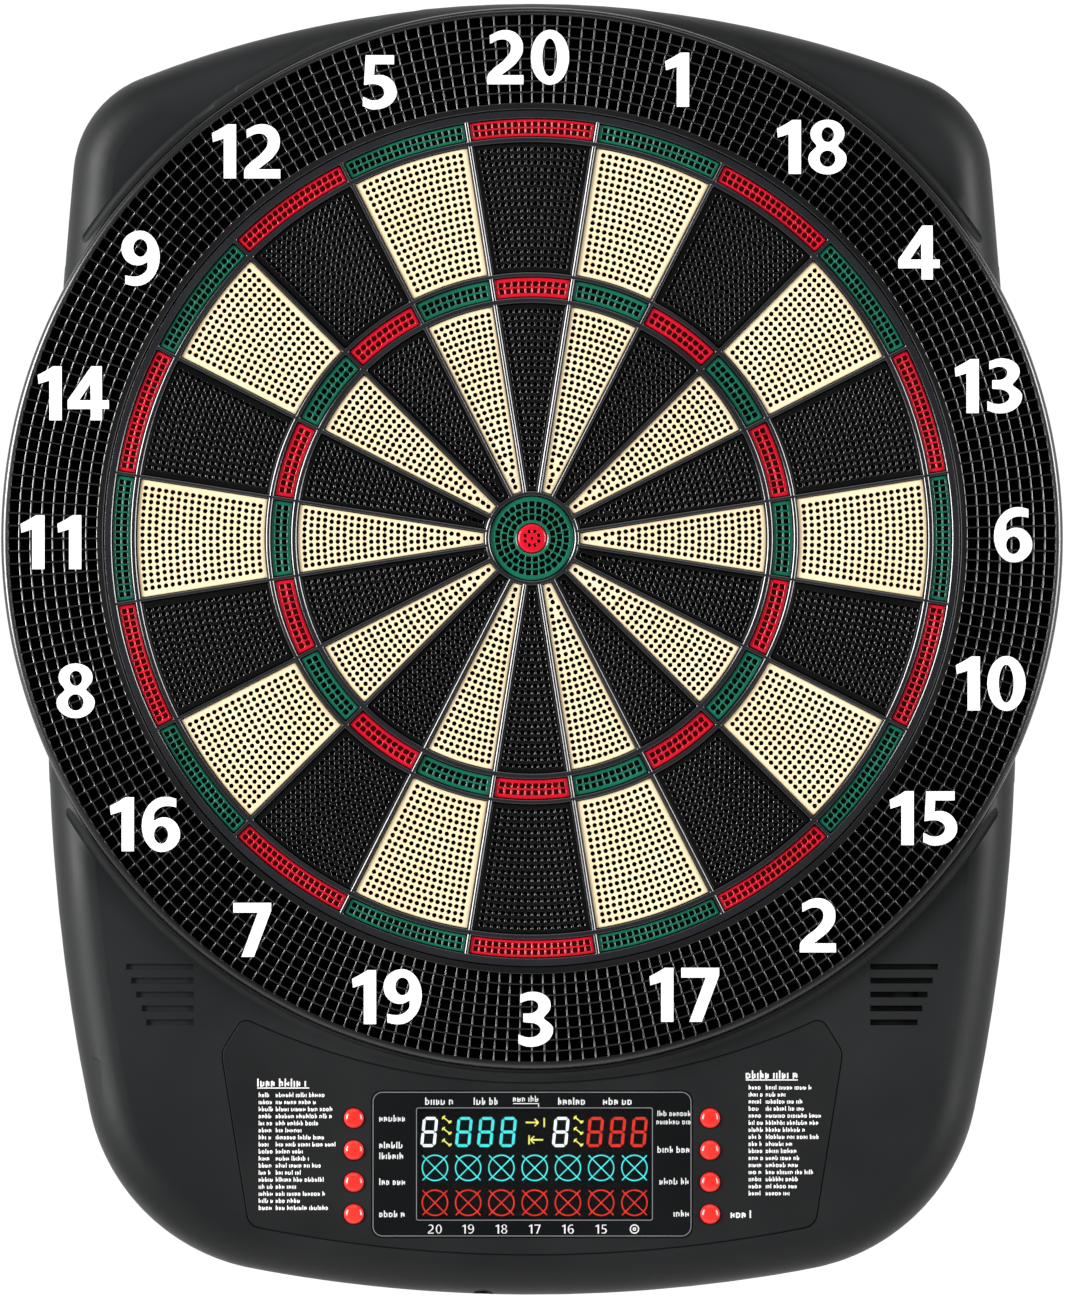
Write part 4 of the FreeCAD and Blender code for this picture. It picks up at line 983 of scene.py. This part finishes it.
numerals(
    "column_numerals", places, SCORE_HEIGHT / NUMERAL_HEIGHT, WINDOW_DEPTH, INK, grey_ink,
    SCORE_THINNER,
)

# ---- stage ----------------------------------------------------------------------------------------
# In metres. In use the bull hangs 1.73 m up, so the floor lies well below the board.
FLOOR_HEIGHT, FLOOR_SIDE, FLOOR_FRONT, FLOOR_REAR = -1.6, 4, -6, 2
BACKDROP_PLACE, BACKDROP_SIDE, BACKDROP_TOP = 0.45, 2, 2
SURROUND_STRENGTH = 0.07


def stage_sheet(name, corners, material):
    mesh = bpy.data.meshes.new(name)
    mesh.from_pydata(corners, [], [(0, 1, 2, 3)])
    mesh.materials.append(material)
    made = bpy.data.objects.new(name, mesh)
    scene.collection.objects.link(made)
    return made


# Painted studio paper, lit from behind so that it reads as plain white, and seen only from its front.
paper = bpy.data.materials.new("lit white paper")
paper.use_nodes = True
tree = paper.node_tree
tree.nodes.clear()
glow = add(tree, "Emission", {"Color": linear("#FFFFFF"), "Strength": 1.05})
through = add(tree, "BsdfTransparent")
rear_side = add(tree, "NewGeometry").outputs["Backfacing"]
either = add(tree, "MixShader", {0: rear_side, 1: glow.outputs[0], 2: through.outputs[0]})
add(tree, "OutputMaterial", {"Surface": either.outputs[0]})
floor_paint = finish("pale floor paint", "#ECECEA", "#E6E6E4", 400, 0.7, 2.0, 0.02)

floor_corners = [(-FLOOR_SIDE, FLOOR_FRONT), (FLOOR_SIDE, FLOOR_FRONT), (FLOOR_SIDE, FLOOR_REAR),
                 (-FLOOR_SIDE, FLOOR_REAR)]
floor = stage_sheet("floor", [(x, y, FLOOR_HEIGHT) for x, y in floor_corners], floor_paint)
backdrop_corners = [(-BACKDROP_SIDE, FLOOR_HEIGHT), (BACKDROP_SIDE, FLOOR_HEIGHT),
                    (BACKDROP_SIDE, BACKDROP_TOP), (-BACKDROP_SIDE, BACKDROP_TOP)]
backdrop = stage_sheet("backdrop", [(x, BACKDROP_PLACE, z) for x, z in backdrop_corners], paper)

world = bpy.data.worlds.new("studio")
world.use_nodes = True
surround = next(n for n in world.node_tree.nodes if n.type == "BACKGROUND")
surround.inputs["Color"].default_value = linear("#F2F4F7")
surround.inputs["Strength"].default_value = SURROUND_STRENGTH
scene.world = world


def softbox(name, place, target, width, height, power, spread=180):
    """A flat lamp at a place in metres that faces its target. power is in watts and spread in degrees."""
    data = bpy.data.lights.new(name, "AREA")
    data.shape = "RECTANGLE"
    data.size, data.size_y = width, height
    data.energy = power
    data.spread = math.radians(spread)
    made = bpy.data.objects.new(name, data)
    made.location = place
    made.rotation_mode = "QUATERNION"
    made.rotation_quaternion = (Vector(target) - Vector(place)).to_track_quat("-Z", "Y")
    scene.collection.objects.link(made)


softbox("key_left", (-3.0, -1.9, 0.45), (0, 0, -0.05), 1.2, 2.2, 48, 80)
softbox("key_right", (3.0, -1.9, 0.35), (0, 0, -0.05), 1.2, 2.2, 27, 80)
softbox("side_left", (-1.4, -0.06, 0.0), (0, -0.03, -0.05), 0.3, 1.6, 4)
softbox("side_right", (1.4, -0.06, 0.0), (0, -0.03, -0.05), 0.3, 1.6, 3)
softbox("top", (0, -1.2, 2.2), (0, -0.03, 0), 2.4, 0.8, 9)
